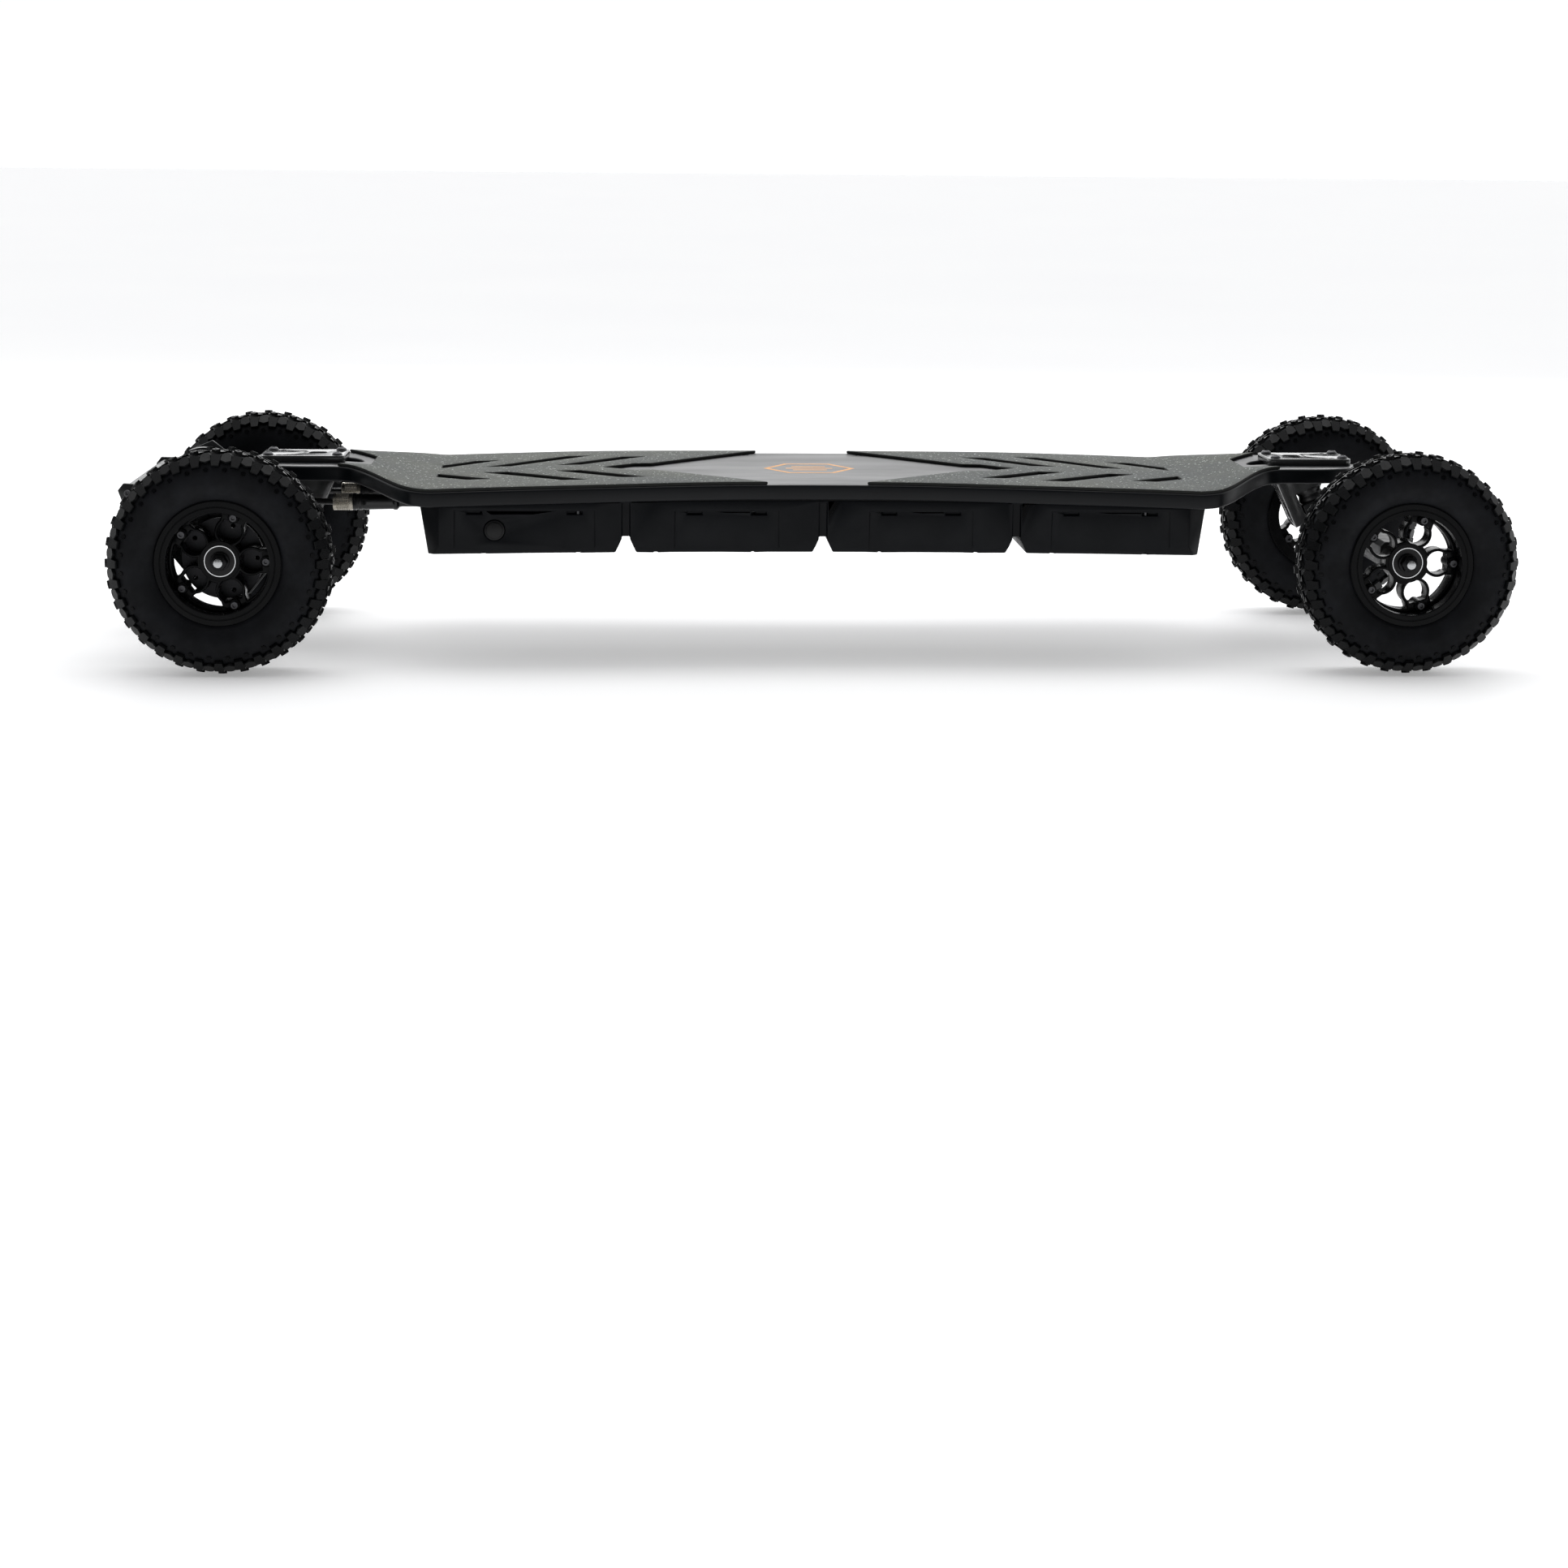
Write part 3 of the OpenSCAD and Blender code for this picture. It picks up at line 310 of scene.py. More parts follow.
@dataclass(frozen=True)
class Veneer(Finish):
    """Pale maple with fine grain along the board."""

    def wire(self, shader: Shader) -> None:
        """Long growth lines crossed by short pores."""
        brown = [c * k for c, k in zip(self.colour, (0.72, 0.62, 0.5))]
        lines = shader.noise(3.2, 6, (0.08, 1, 1))
        pores = shader.noise(0.5, 2, (0.12, 1, 1))
        body = shader.ramp(lines, [(0.34, *brown), (0.6, *self.colour)])
        fleck = shader.ramp(pores, [(0.4, 0.8, 0.74, 0.66), (0.55, 1, 1, 1)])
        shader.join(shader.blend("MULTIPLY", 0.8, body, fleck), "Base Color")
        shader.set(Roughness=self.roughness)
        shader.bump(pores, self.relief)


@dataclass(frozen=True)
class GlossCan(Finish):
    """Motor can: deep gloss with fine scratches round it."""

    def wire(self, shader: Shader) -> None:
        """Coated black with bands of wear that run round the can."""
        shader.set(Coat_Weight=0.6, Coat_Roughness=0.12)
        bands = shader.noise(1.4, 5, (0.05, 1, 0.05))
        worn = [c * 5 + 0.01 for c in self.colour]
        shader.join(shader.ramp(bands, [(0.6, *self.colour), (0.78, *worn)]), "Base Color")
        shader.join(shader.remap(bands, self.roughness - 0.05, self.roughness + 0.12), "Roughness")
        shader.bump(bands, self.relief)


@dataclass(frozen=True)
class Tread(Finish):
    """Tyre rubber: matt, with a dusty cloudiness."""

    def wire(self, shader: Shader) -> None:
        """Rubber with a fine mould texture and paler dusty patches."""
        dusty = [c * 2.1 for c in self.colour]
        patches = shader.noise(22, 5)
        shader.join(shader.ramp(patches, [(0.42, *self.colour), (0.75, *dusty)]), "Base Color")
        wear = shader.noise(6, 4)
        shader.join(shader.remap(wear, self.roughness - 0.08, self.roughness + 0.08), "Roughness")
        shader.bump(shader.noise(0.9, 4), self.relief)


class Paint:
    """Every finish on the board."""

    GRIP = GripFoam("grip granules", (0.052, 0.059, 0.052), 0.62, 0.2, relief=0.22)
    FOAM = Finish("grip foam edge", (0.014, 0.015, 0.014), 0.75, 0.25, 1.0, 0.12)
    DECK = Lacquer("deck lacquer", (0.0022, 0.003, 0.0042), 0.34, 0.22, relief=0.012)
    MAPLE = Veneer("maple veneer", (0.9, 0.46, 0.15), 0.5, 0.15, relief=0.02)
    TRAY = Finish("tray shell", (0.0038, 0.0046, 0.006), 0.44, 0.13, 0.5, 0.03)
    GASKET = Finish("gasket rubber", (0.004, 0.004, 0.004), 0.7, 0.2, 1.2, 0.1)
    TRUCK = Anodised("truck anodising", (0.017, 0.018, 0.019), 0.3, 0.5, relief=0.015)
    # The base plates are black anodised like the rest, but their colour is several times lighter: painted
    # reflection of a bright ceiling.
    PLATE = Anodised("base plate coat", (0.07, 0.071, 0.072), 0.16, 1.0, relief=0.01)
    BAR = Anodised("hanger anodising", (0.022, 0.0225, 0.023), 0.38, 0.4, relief=0.015)
    DRIVE = Anodised("drive anodising", (0.024, 0.025, 0.027), 0.42, 0.45, relief=0.015)
    CAN = GlossCan("motor can gloss", (0.0045, 0.0045, 0.005), 0.22, 0.5, relief=0.006)
    CAN_END = Metal("turned end plate", (0.3, 0.3, 0.31), 0.32, 0.5, relief=0.004, lay=(1, 1, 1))
    CORE = Metal("copper windings", (0.62, 0.3, 0.14), 0.35, 0.5, relief=0.05)
    STEEL = Metal("plated steel", (0.56, 0.57, 0.58), 0.24, 0.5, relief=0.004)
    DARK_STEEL = Metal("black oxide steel", (0.09, 0.09, 0.095), 0.34, 0.5, relief=0.004)
    BRIGHT = Metal("ground bearing steel", (0.72, 0.73, 0.74), 0.16, 0.5, relief=0.002)
    NICKEL = Metal("knurled nickel", (0.62, 0.58, 0.5), 0.28, 0.5, relief=0.004)
    SEAL = Finish("bearing seal", (0.004, 0.004, 0.0045), 0.4, 0.3, 0.6, 0.02)
    TYRE = Tread("tyre rubber", (0.0042, 0.0046, 0.0058), 0.6, 0.14, relief=0.05)
    KNOB = Tread("tread rubber", (0.0015, 0.0017, 0.0021), 0.3, 0.1, relief=0.05)
    RIM = Finish("rim nylon", (0.0016, 0.0018, 0.0022), 0.25, 0.1, 0.7, 0.012)
    GEAR = Metal("blackened gear", (0.03, 0.03, 0.032), 0.4, 0.5, relief=0.01)
    WASHER = Metal("blackened washer", (0.02, 0.02, 0.021), 0.3, 0.5, relief=0.004)
    JACKET = Finish("cable jacket", (0.006, 0.006, 0.0065), 0.3, 0.5, 0.9, 0.02)
    URETHANE = Finish("bushing urethane", (0.016, 0.016, 0.017), 0.33, 0.5, 1.5, 0.02)
    BUTTON = Finish("button rubber", (0.0045, 0.0047, 0.005), 0.5, 0.3, 0.6, 0.04)
    CELLS = Finish("cell wrap", (0.02, 0.11, 0.26), 0.25, 0.5, 2.0, 0.02)
    BOARD = Finish("circuit board", (0.012, 0.085, 0.03), 0.4, 0.5, 1.0, 0.05)
    SINK = Metal("heat sink", (0.5, 0.51, 0.52), 0.36, 0.5, relief=0.01)


# ---- mesh tools -------------------------------------------------------------------------------
def shade(mesh: bpy.types.Mesh, angle: float = SHARP) -> None:
    """Smooths a mesh except over edges sharper than angle."""
    mesh.shade_smooth()
    mesh.set_sharp_from_angle(angle=angle)


def linked(name: str, data: Optional[bpy.types.ID]) -> bpy.types.Object:
    """Puts a new object that shows this data into the scene."""
    piece = bpy.data.objects.new(name, data)
    bpy.context.scene.collection.objects.link(piece)
    return piece


def solid(name: str, points: Sequence[Sequence[float]], faces: Sequence[Sequence[int]], paint: Finish,
          place: Optional[Matrix] = None) -> bpy.types.Object:
    """Makes an object from points in millimetres.

    Args:
        name: the piece's name.
        points: its vertices.
        faces: its faces, seen anticlockwise from outside.
        paint: its finish.
        place: where to put it, a matrix in metres.

    Returns:
        The object, at the origin with its place in its mesh.
    """
    mesh = bpy.data.meshes.new(name)
    mesh.from_pydata([tuple(c * MM for c in p) for p in points], [], [tuple(f) for f in faces])
    if place is not None:
        mesh.transform(place)
    mesh.validate()
    shade(mesh)
    mesh.materials.append(paint.material())
    return linked(name, mesh)


def settle(piece: bpy.types.Object) -> bpy.types.Object:
    """Turns a piece's modifiers into plain mesh and removes them."""
    graph = bpy.context.evaluated_depsgraph_get()
    mesh = bpy.data.meshes.new_from_object(piece.evaluated_get(graph), depsgraph=graph)
    piece.modifiers.clear()
    piece.data = mesh
    return piece


def joined(name: str, pieces: Sequence[bpy.types.Object]) -> bpy.types.Object:
    """Joins pieces of one body into one object, keeping each one's finish."""
    form = bmesh.new()
    finishes: list[bpy.types.Material] = []
    for piece in pieces:
        start = len(form.faces)
        form.from_mesh(piece.data)
        form.faces.ensure_lookup_table()
        slots = list(piece.data.materials)
        for face in form.faces[start:]:
            material = slots[min(face.material_index, len(slots) - 1)]
            if material not in finishes:
                finishes.append(material)
            face.material_index = finishes.index(material)
    mesh = bpy.data.meshes.new(name)
    form.to_mesh(mesh)
    form.free()
    for material in finishes:
        mesh.materials.append(material)
    shade(mesh)
    for piece in pieces:
        bpy.data.objects.remove(piece)
    return linked(name, mesh)


def lathe(profile: Sequence[Flat], segments: int) -> tuple[list[Spot], list[list[int]]]:
    """Turns a closed outline round +Z.

    Args:
        profile: radius and height of each corner, anticlockwise with radius to the right.
        segments: how many steps there are round the axis.

    Returns:
        The vertices and the faces.
    """
    count = len(profile)
    turns = [2 * math.pi * k / segments for k in range(segments)]
    points = [(r * math.cos(a), r * math.sin(a), z) for a in turns for r, z in profile]
    faces = [[k * count + i, (k + 1) % segments * count + i, (k + 1) % segments * count + (i + 1) % count,
              k * count + (i + 1) % count] for k in range(segments) for i in range(count)]
    return points, faces


def rounded(outline: Sequence[Flat], radius: float, steps: int = 3) -> list[Flat]:
    """Rounds every corner of an outline that turns by more than a few degrees."""
    result: list[Flat] = []
    count = len(outline)
    for i, corner in enumerate(outline):
        here = Vector(corner)
        back = (Vector(outline[i - 1]) - here)
        ahead = (Vector(outline[(i + 1) % count]) - here)
        turn = math.pi - back.angle(ahead, math.pi)
        reach = min(radius * math.tan(turn / 2), back.length * 0.45, ahead.length * 0.45)
        if turn < math.radians(12):
            result.append(corner)
            continue
        start = here + back.normalized() * reach
        end = here + ahead.normalized() * reach
        for k in range(steps + 1):
            t = k / steps
            spot = start * (1 - t) ** 2 + here * 2 * t * (1 - t) + end * t ** 2
            result.append((spot.x, spot.y))
    return result


def divided(loop: Sequence[Flat], longest: float) -> list[Flat]:
    """Splits a loop's long edges so that none is longer than longest."""
    result: list[Flat] = []
    for i, (x0, y0) in enumerate(loop):
        x1, y1 = loop[(i + 1) % len(loop)]
        pieces = max(1, math.ceil(math.hypot(x1 - x0, y1 - y0) / longest))
        result += [(x0 + (x1 - x0) * k / pieces, y0 + (y1 - y0) * k / pieces) for k in range(pieces)]
    return result


def area(loop: Sequence[Flat]) -> float:
    """Signed area of a loop, positive when it runs anticlockwise."""
    return sum(x0 * y1 - x1 * y0 for (x0, y0), (x1, y1) in zip(loop, [*loop[1:], loop[0]])) / 2


def inside(points: np.ndarray, loops: Sequence[Sequence[Flat]]) -> np.ndarray:
    """Says which points lie within an odd number of loops."""
    found = np.zeros(len(points), bool)
    for loop in loops:
        ring = np.array(loop)
        for (x0, y0), (x1, y1) in zip(ring, np.roll(ring, -1, axis=0)):
            if y0 == y1:
                continue
            crosses = (y0 > points[:, 1]) != (y1 > points[:, 1])
            found ^= crosses & (points[:, 0] < x0 + (points[:, 1] - y0) * (x1 - x0) / (y1 - y0))
    return found


@dataclass
class Slab:
    """A closed sheet between two height functions, with rounded edges.

    The first loop is the outline and the rest are openings.
    """

    loops: list[list[Flat]]
    top: Height
    bottom: Height
    pitch: float = 12.0
    edge: float = 1.0
    steps: int = 3
    longest: float = 7.0

    def inset(self, loop: Sequence[Flat], distance: float) -> list[Flat]:
        """Moves a loop into the material by a distance."""
        result = []
        for i, (x, y) in enumerate(loop):
            x0, y0 = loop[i - 1]
            x1, y1 = loop[(i + 1) % len(loop)]
            a = Vector((y0 - y, x - x0)).normalized()
            b = Vector((y - y1, x1 - x)).normalized()
            middle = (a + b).normalized()
            step = middle * (distance / max(middle.dot(a), 0.4))
            result.append((x + step.x, y + step.y))
        return result

    def cap(self, loops: Sequence[Sequence[Flat]]) -> tuple[list[Flat], list[list[int]]]:
        """Fills the loops with triangles, with spare points between them for curvature."""
        flat = [p for loop in loops for p in loop]
        edges = []
        start = 0
        for loop in loops:
            edges += [(start + i, start + (i + 1) % len(loop)) for i in range(len(loop))]
            start += len(loop)
        ring = np.array(flat)
        (x0, y0), (x1, y1) = ring.min(0), ring.max(0)
        grid = np.array([(x, y + (self.pitch / 2 if k % 2 else 0))
                         for k, x in enumerate(np.arange(x0, x1, self.pitch))
                         for y in np.arange(y0, y1, self.pitch)])
        grid = grid[inside(grid, loops)]
        gaps = np.array([np.hypot(*(ring - g).T).min() for g in grid]) if len(grid) else np.zeros(0)
        spare = [tuple(g) for g in grid[gaps > self.pitch * 0.45]] if len(grid) else []
        found, _, faces, origin, _, _ = delaunay_2d_cdt([Vector(p) for p in flat + spare], edges, [], 0, 1e-5)
        number = {old: new for new, olds in enumerate(origin) for old in olds}
        centres = np.array([sum((found[i] for i in f), Vector((0, 0))) / len(f) for f in faces])
        keep = inside(centres, loops)
        order = [number[i] for i in range(len(flat))]
        extra = [i for i in range(len(found)) if i not in set(order)]
        rank = {new: k for k, new in enumerate(order + extra)}
        points = [tuple(found[i]) for i in order + extra]
        return points, [[rank[i] for i in f] for f, k in zip(faces, keep) if k]

    def build(self, name: str, paint: Finish, place: Optional[Matrix] = None,
              side: Optional[Finish] = None) -> bpy.types.Object:
        """Makes the sheet.

        Args:
            name: the piece's name.
            paint: the finish of its faces.
            place: where it goes, a matrix in metres.
            side: the finish of its cut edges, where that differs.

        Returns:
            The object.
        """
        loops = [divided(loop, self.longest) for loop in self.loops]
        loops = [loop if (area(loop) > 0) == (i == 0) else loop[::-1] for i, loop in enumerate(loops)]
        inner = [self.inset(loop, self.edge) for loop in loops]
        flat, triangles = self.cap(inner)
        count = len(flat)
        points = [(x, y, self.top(x, y)) for x, y in flat] + [(x, y, self.bottom(x, y)) for x, y in flat]
        faces = [list(f) for f in triangles] + [[i + count for i in reversed(f)] for f in triangles]
        caps = len(faces)
        start = 0
        for loop in loops:
            size = len(loop)
            rows = [[start + i for i in range(size)]]
            for k in list(range(1, self.steps + 1)) + list(range(self.steps, 0, -1)):
                turn = math.pi / 2 * k / self.steps
                ring = self.inset(loop, self.edge * (1 - math.sin(turn)))
                drop = self.edge * (1 - math.cos(turn))
                upper = len(rows) <= self.steps
                rows.append([len(points) + i for i in range(size)])
                points += [(x, y, self.top(x, y) - drop if upper else self.bottom(x, y) + drop)
                           for x, y in ring]
            rows.append([count + start + i for i in range(size)])
            for high, low in zip(rows, rows[1:]):
                faces += [[high[i], low[i], low[(i + 1) % size], high[(i + 1) % size]] for i in range(size)]
            start += size
        piece = solid(name, points, faces, paint, place)
        if side is not None:
            piece.data.materials.append(side.material())
            for polygon in piece.data.polygons[caps:]:
                polygon.material_index = 1
        return piece


def circle(x: float, y: float, radius: float, count: int = 24) -> list[Flat]:
    """Points of a circle."""
    return [(x + radius * math.cos(2 * math.pi * k / count), y + radius * math.sin(2 * math.pi * k / count))
            for k in range(count)]


def arc(x: float, y: float, radius: float, start: float, end: float, count: int = 8) -> list[Flat]:
    """Points of an arc between two angles in degrees."""
    angles = [math.radians(start + (end - start) * k / count) for k in range(count + 1)]
    return [(x + radius * math.cos(a), y + radius * math.sin(a)) for a in angles]


def turned(outline: Sequence[Flat], degrees: float) -> list[Flat]:
    """An outline turned about the origin."""
    c, s = math.cos(math.radians(degrees)), math.sin(math.radians(degrees))
    return [(x * c - y * s, x * s + y * c) for x, y in outline]


def curve_points(route: Sequence[Spot], steps: int) -> list[Vector]:
    """Points of a smooth curve through a route's own points."""
    spots = [Vector(p) for p in route]
    result = []
    for k in range(len(spots) - 1):
        a, b, c, d = spots[max(0, k - 1)], spots[k], spots[k + 1], spots[min(len(spots) - 1, k + 2)]
        for s in range(steps):
            t = s / steps
            result.append(0.5 * (2 * b + (c - a) * t + (2 * a - 5 * b + 4 * c - d) * t * t
                                 + (3 * b - a - 3 * c + d) * t ** 3))
    return [*result, spots[-1]]


# ---- geometry node trees ----------------------------------------------------------------------
class NodeTree:
    """A geometry node tree with named inputs, made once and used by many pieces."""

    def __init__(self, name: str, inputs: Sequence[tuple[str, str]]) -> None:
        """Starts a tree that takes a geometry and the named inputs."""
        self.group = bpy.data.node_groups.new(name, "GeometryNodeTree")
        face = self.group.interface
        face.new_socket("Geometry", in_out="INPUT", socket_type="NodeSocketGeometry")
        self.sockets = {title: face.new_socket(title, in_out="INPUT", socket_type=kind).identifier
                        for title, kind in inputs}
        face.new_socket("Geometry", in_out="OUTPUT", socket_type="NodeSocketGeometry")
        self.start = self.group.nodes.new("NodeGroupInput")
        self.end = self.group.nodes.new("NodeGroupOutput")

    def add(self, kind: str, **wires: object) -> bpy.types.Node:
        """Adds a node.

        Args:
            kind: the node's type.
            wires: its inputs, with _ for a space, as sockets or plain values.

        Returns:
            The node.
        """
        node = self.group.nodes.new(kind)
        for name, value in wires.items():
            target = node.inputs[name.replace("_", " ")]
            if isinstance(value, bpy.types.NodeSocket):
                self.group.links.new(value, target)
            else:
                target.default_value = value
        return node

    def close(self, geometry: bpy.types.NodeSocket) -> None:
        """Ends the tree in Realize Instances and Set Material."""
        real = self.add("GeometryNodeRealizeInstances", Geometry=geometry)
        dressed = self.add("GeometryNodeSetMaterial", Geometry=real.outputs[0],
                           Material=self.start.outputs["Material"])
        self.group.links.new(dressed.outputs[0], self.end.inputs[0])

    def apply(self, piece: bpy.types.Object, **values: object) -> bpy.types.Object:
        """Runs the tree on a piece with these input values, and keeps the plain mesh."""
        modifier = piece.modifiers.new("build", "NODES")
        modifier.node_group = self.group
        for title, value in values.items():
            modifier[self.sockets[title.replace("_", " ")]] = value
        settle(piece)
        shade(piece.data)
        return piece


def ring_tree() -> NodeTree:
    """Repeats a template round +Z, a set number of times."""
    tree = NodeTree("repeat round an axis", [("Count", "NodeSocketInt"), ("Material", "NodeSocketMaterial")])
    count = tree.start.outputs["Count"]
    spots = tree.add("GeometryNodePoints", Count=count)
    index = tree.add("GeometryNodeInputIndex")
    share = tree.add("ShaderNodeMath")
    share.operation = "DIVIDE"
    tree.group.links.new(index.outputs[0], share.inputs[0])
    tree.group.links.new(count, share.inputs[1])
    angle = tree.add("ShaderNodeMath")
    angle.operation = "MULTIPLY"
    angle.inputs[1].default_value = 2 * math.pi
    tree.group.links.new(share.outputs[0], angle.inputs[0])
    turn = tree.add("ShaderNodeCombineXYZ", Z=angle.outputs[0])
    copies = tree.add("GeometryNodeInstanceOnPoints", Points=spots.outputs[0],
                      Instance=tree.start.outputs["Geometry"], Rotation=turn.outputs[0])
    tree.close(copies.outputs[0])
    return tree


def scatter_tree() -> NodeTree:
    """Puts a template on every vertex of the piece, turned one way."""
    tree = NodeTree("place on points", [("Template", "NodeSocketObject"), ("Turn", "NodeSocketRotation"),
                                        ("Material", "NodeSocketMaterial")])
    template = tree.add("GeometryNodeObjectInfo", Object=tree.start.outputs["Template"])
    copies = tree.add("GeometryNodeInstanceOnPoints", Points=tree.start.outputs["Geometry"],
                      Instance=template.outputs["Geometry"], Rotation=tree.start.outputs["Turn"])
    tree.close(copies.outputs[0])
    return tree


def tube_tree() -> NodeTree:
    """Sweeps a round section along every line of the piece."""
    tree = NodeTree("tube along a line", [("Radius", "NodeSocketFloat"), ("Sides", "NodeSocketInt"),
                                          ("Material", "NodeSocketMaterial")])
    line = tree.add("GeometryNodeMeshToCurve", Mesh=tree.start.outputs["Geometry"])
    section = tree.add("GeometryNodeCurvePrimitiveCircle", Resolution=tree.start.outputs["Sides"],
                       Radius=tree.start.outputs["Radius"])
    swept = tree.add("GeometryNodeCurveToMesh", Curve=line.outputs[0], Profile_Curve=section.outputs[0],
                     Fill_Caps=True)
    tree.close(swept.outputs[0])
    return tree


# ---- pieces taken from the frame --------------------------------------------------------------
class Frame:
    """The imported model, with ways to dress its nodes or refine copies of them."""

    def __init__(self) -> None:
        """Loads the frame."""
        self.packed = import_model()
        self.nodes = self.packed["nodes"]
        record = self.packed["record"]
        self.slots = {part["node"]: part["material_slot"] for part in record["subparts"]}
        self.body = {node: body for body, nodes in record["behaviour"]["bodies"].items() for node in nodes}

    def dress(self, paint: Finish, *nodes: str) -> None:
        """Gives CAD nodes a finish."""
        for node in nodes:
            mesh = self.nodes[node].data
            mesh.materials.clear()
            mesh.materials.append(paint.material())

    def adopt(self, piece: bpy.types.Object, *nodes: str, ride: bool = True) -> bpy.types.Object:
        """Makes a piece stand for CAD nodes, on their body.

        Args:
            piece: the finished piece.
            nodes: the CAD nodes that it replaces.
            ride: whether it moves rigidly with the first node's body.

        Returns:
            The piece.
        """
        if ride:
            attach(piece, self.body[nodes[0]])
        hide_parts(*nodes)
        LOG.info("%s stands for %s", piece.name, ", ".join(nodes))
        return piece

    def copy(self, node: str, keep: Optional[Callable[[Vector], bool]] = None) -> bmesh.types.BMesh:
        """A merged copy of a node's mesh.

        Args:
            node: the CAD node.
            keep: which separate solids to keep, judged by their middle.

        Returns:
            The copy, to be freed or turned into a mesh.
        """
        form = bmesh.new()
        form.from_mesh(self.nodes[node].data)
        bmesh.ops.remove_doubles(form, verts=form.verts, dist=3e-6)
        if keep is not None:
            lost = [v for island in islands(form) if not keep(middle(island)) for v in island]
            bmesh.ops.delete(form, geom=lost, context="VERTS")
        return form

    def refine(self, node: str, bevel: float, paint: Finish, name: str = "",
               keep: Optional[Callable[[Vector], bool]] = None, segments: int = 2) -> bpy.types.Object:
        """A copy of a CAD node with its edges eased.

        Args:
            node: the CAD node.
            bevel: width of the eased edges in millimetres.
            paint: its finish.
            name: the piece's name, when it isn't the node's.
            keep: which separate solids to keep.
            segments: how many facets an eased edge has.

        Returns:
            The refined piece, not yet riding on anything.
        """
        form = self.copy(node, keep)
        mesh = bpy.data.meshes.new(name or node + "_eased")
        form.to_mesh(mesh)
        form.free()
        piece = linked(mesh.name, mesh)
        if bevel:
            eased = piece.modifiers.new("eased", "BEVEL")
            eased.width = bevel * MM
            eased.segments = segments
            eased.limit_method = "ANGLE"
            eased.angle_limit = math.radians(38)
            eased.use_clamp_overlap = False
            eased.loop_slide = False
            settle(piece)
        shade(piece.data)
        piece.data.materials.clear()
        piece.data.materials.append(paint.material())
        return piece

    def ease(self, bevel: float, paint: Finish, *nodes: str) -> None:
        """Replaces CAD nodes with refined copies of themselves."""
        for node in nodes:
            self.adopt(self.refine(node, bevel, paint), node)


def islands(form: bmesh.types.BMesh) -> list[list[bmesh.types.BMVert]]:
    """The separate solids in a mesh, each as its vertices."""
    seen: set[bmesh.types.BMVert] = set()
    found = []
    for first in form.verts:
        if first in seen:
            continue
        group, waiting = [], [first]
        seen.add(first)
        while waiting:
            vertex = waiting.pop()
            group.append(vertex)
            for edge in vertex.link_edges:
                other = edge.other_vert(vertex)
                if other not in seen:
                    seen.add(other)
                    waiting.append(other)
        found.append(group)
    return found


def middle(vertices: Sequence[bmesh.types.BMVert]) -> Vector:
    """The middle of the box round some vertices."""
    spots = np.array([v.co for v in vertices])
    return Vector((spots.min(0) + spots.max(0)) / 2)


def repaint(piece: bpy.types.Object, paint: Finish, test: Callable[[Vector], bool]) -> None:
    """Gives another finish to the faces whose middle passes a test."""
    piece.data.materials.append(paint.material())
    index = len(piece.data.materials) - 1
    for face in piece.data.polygons:
        if test(face.center):
            face.material_index = index


# ---- deck -------------------------------------------------------------------------------------
def smooth(t: float) -> float:
    """An S-shaped step between 0 and 1."""
    t = min(1.0, max(0.0, t))
    return t * t * (3 - 2 * t)


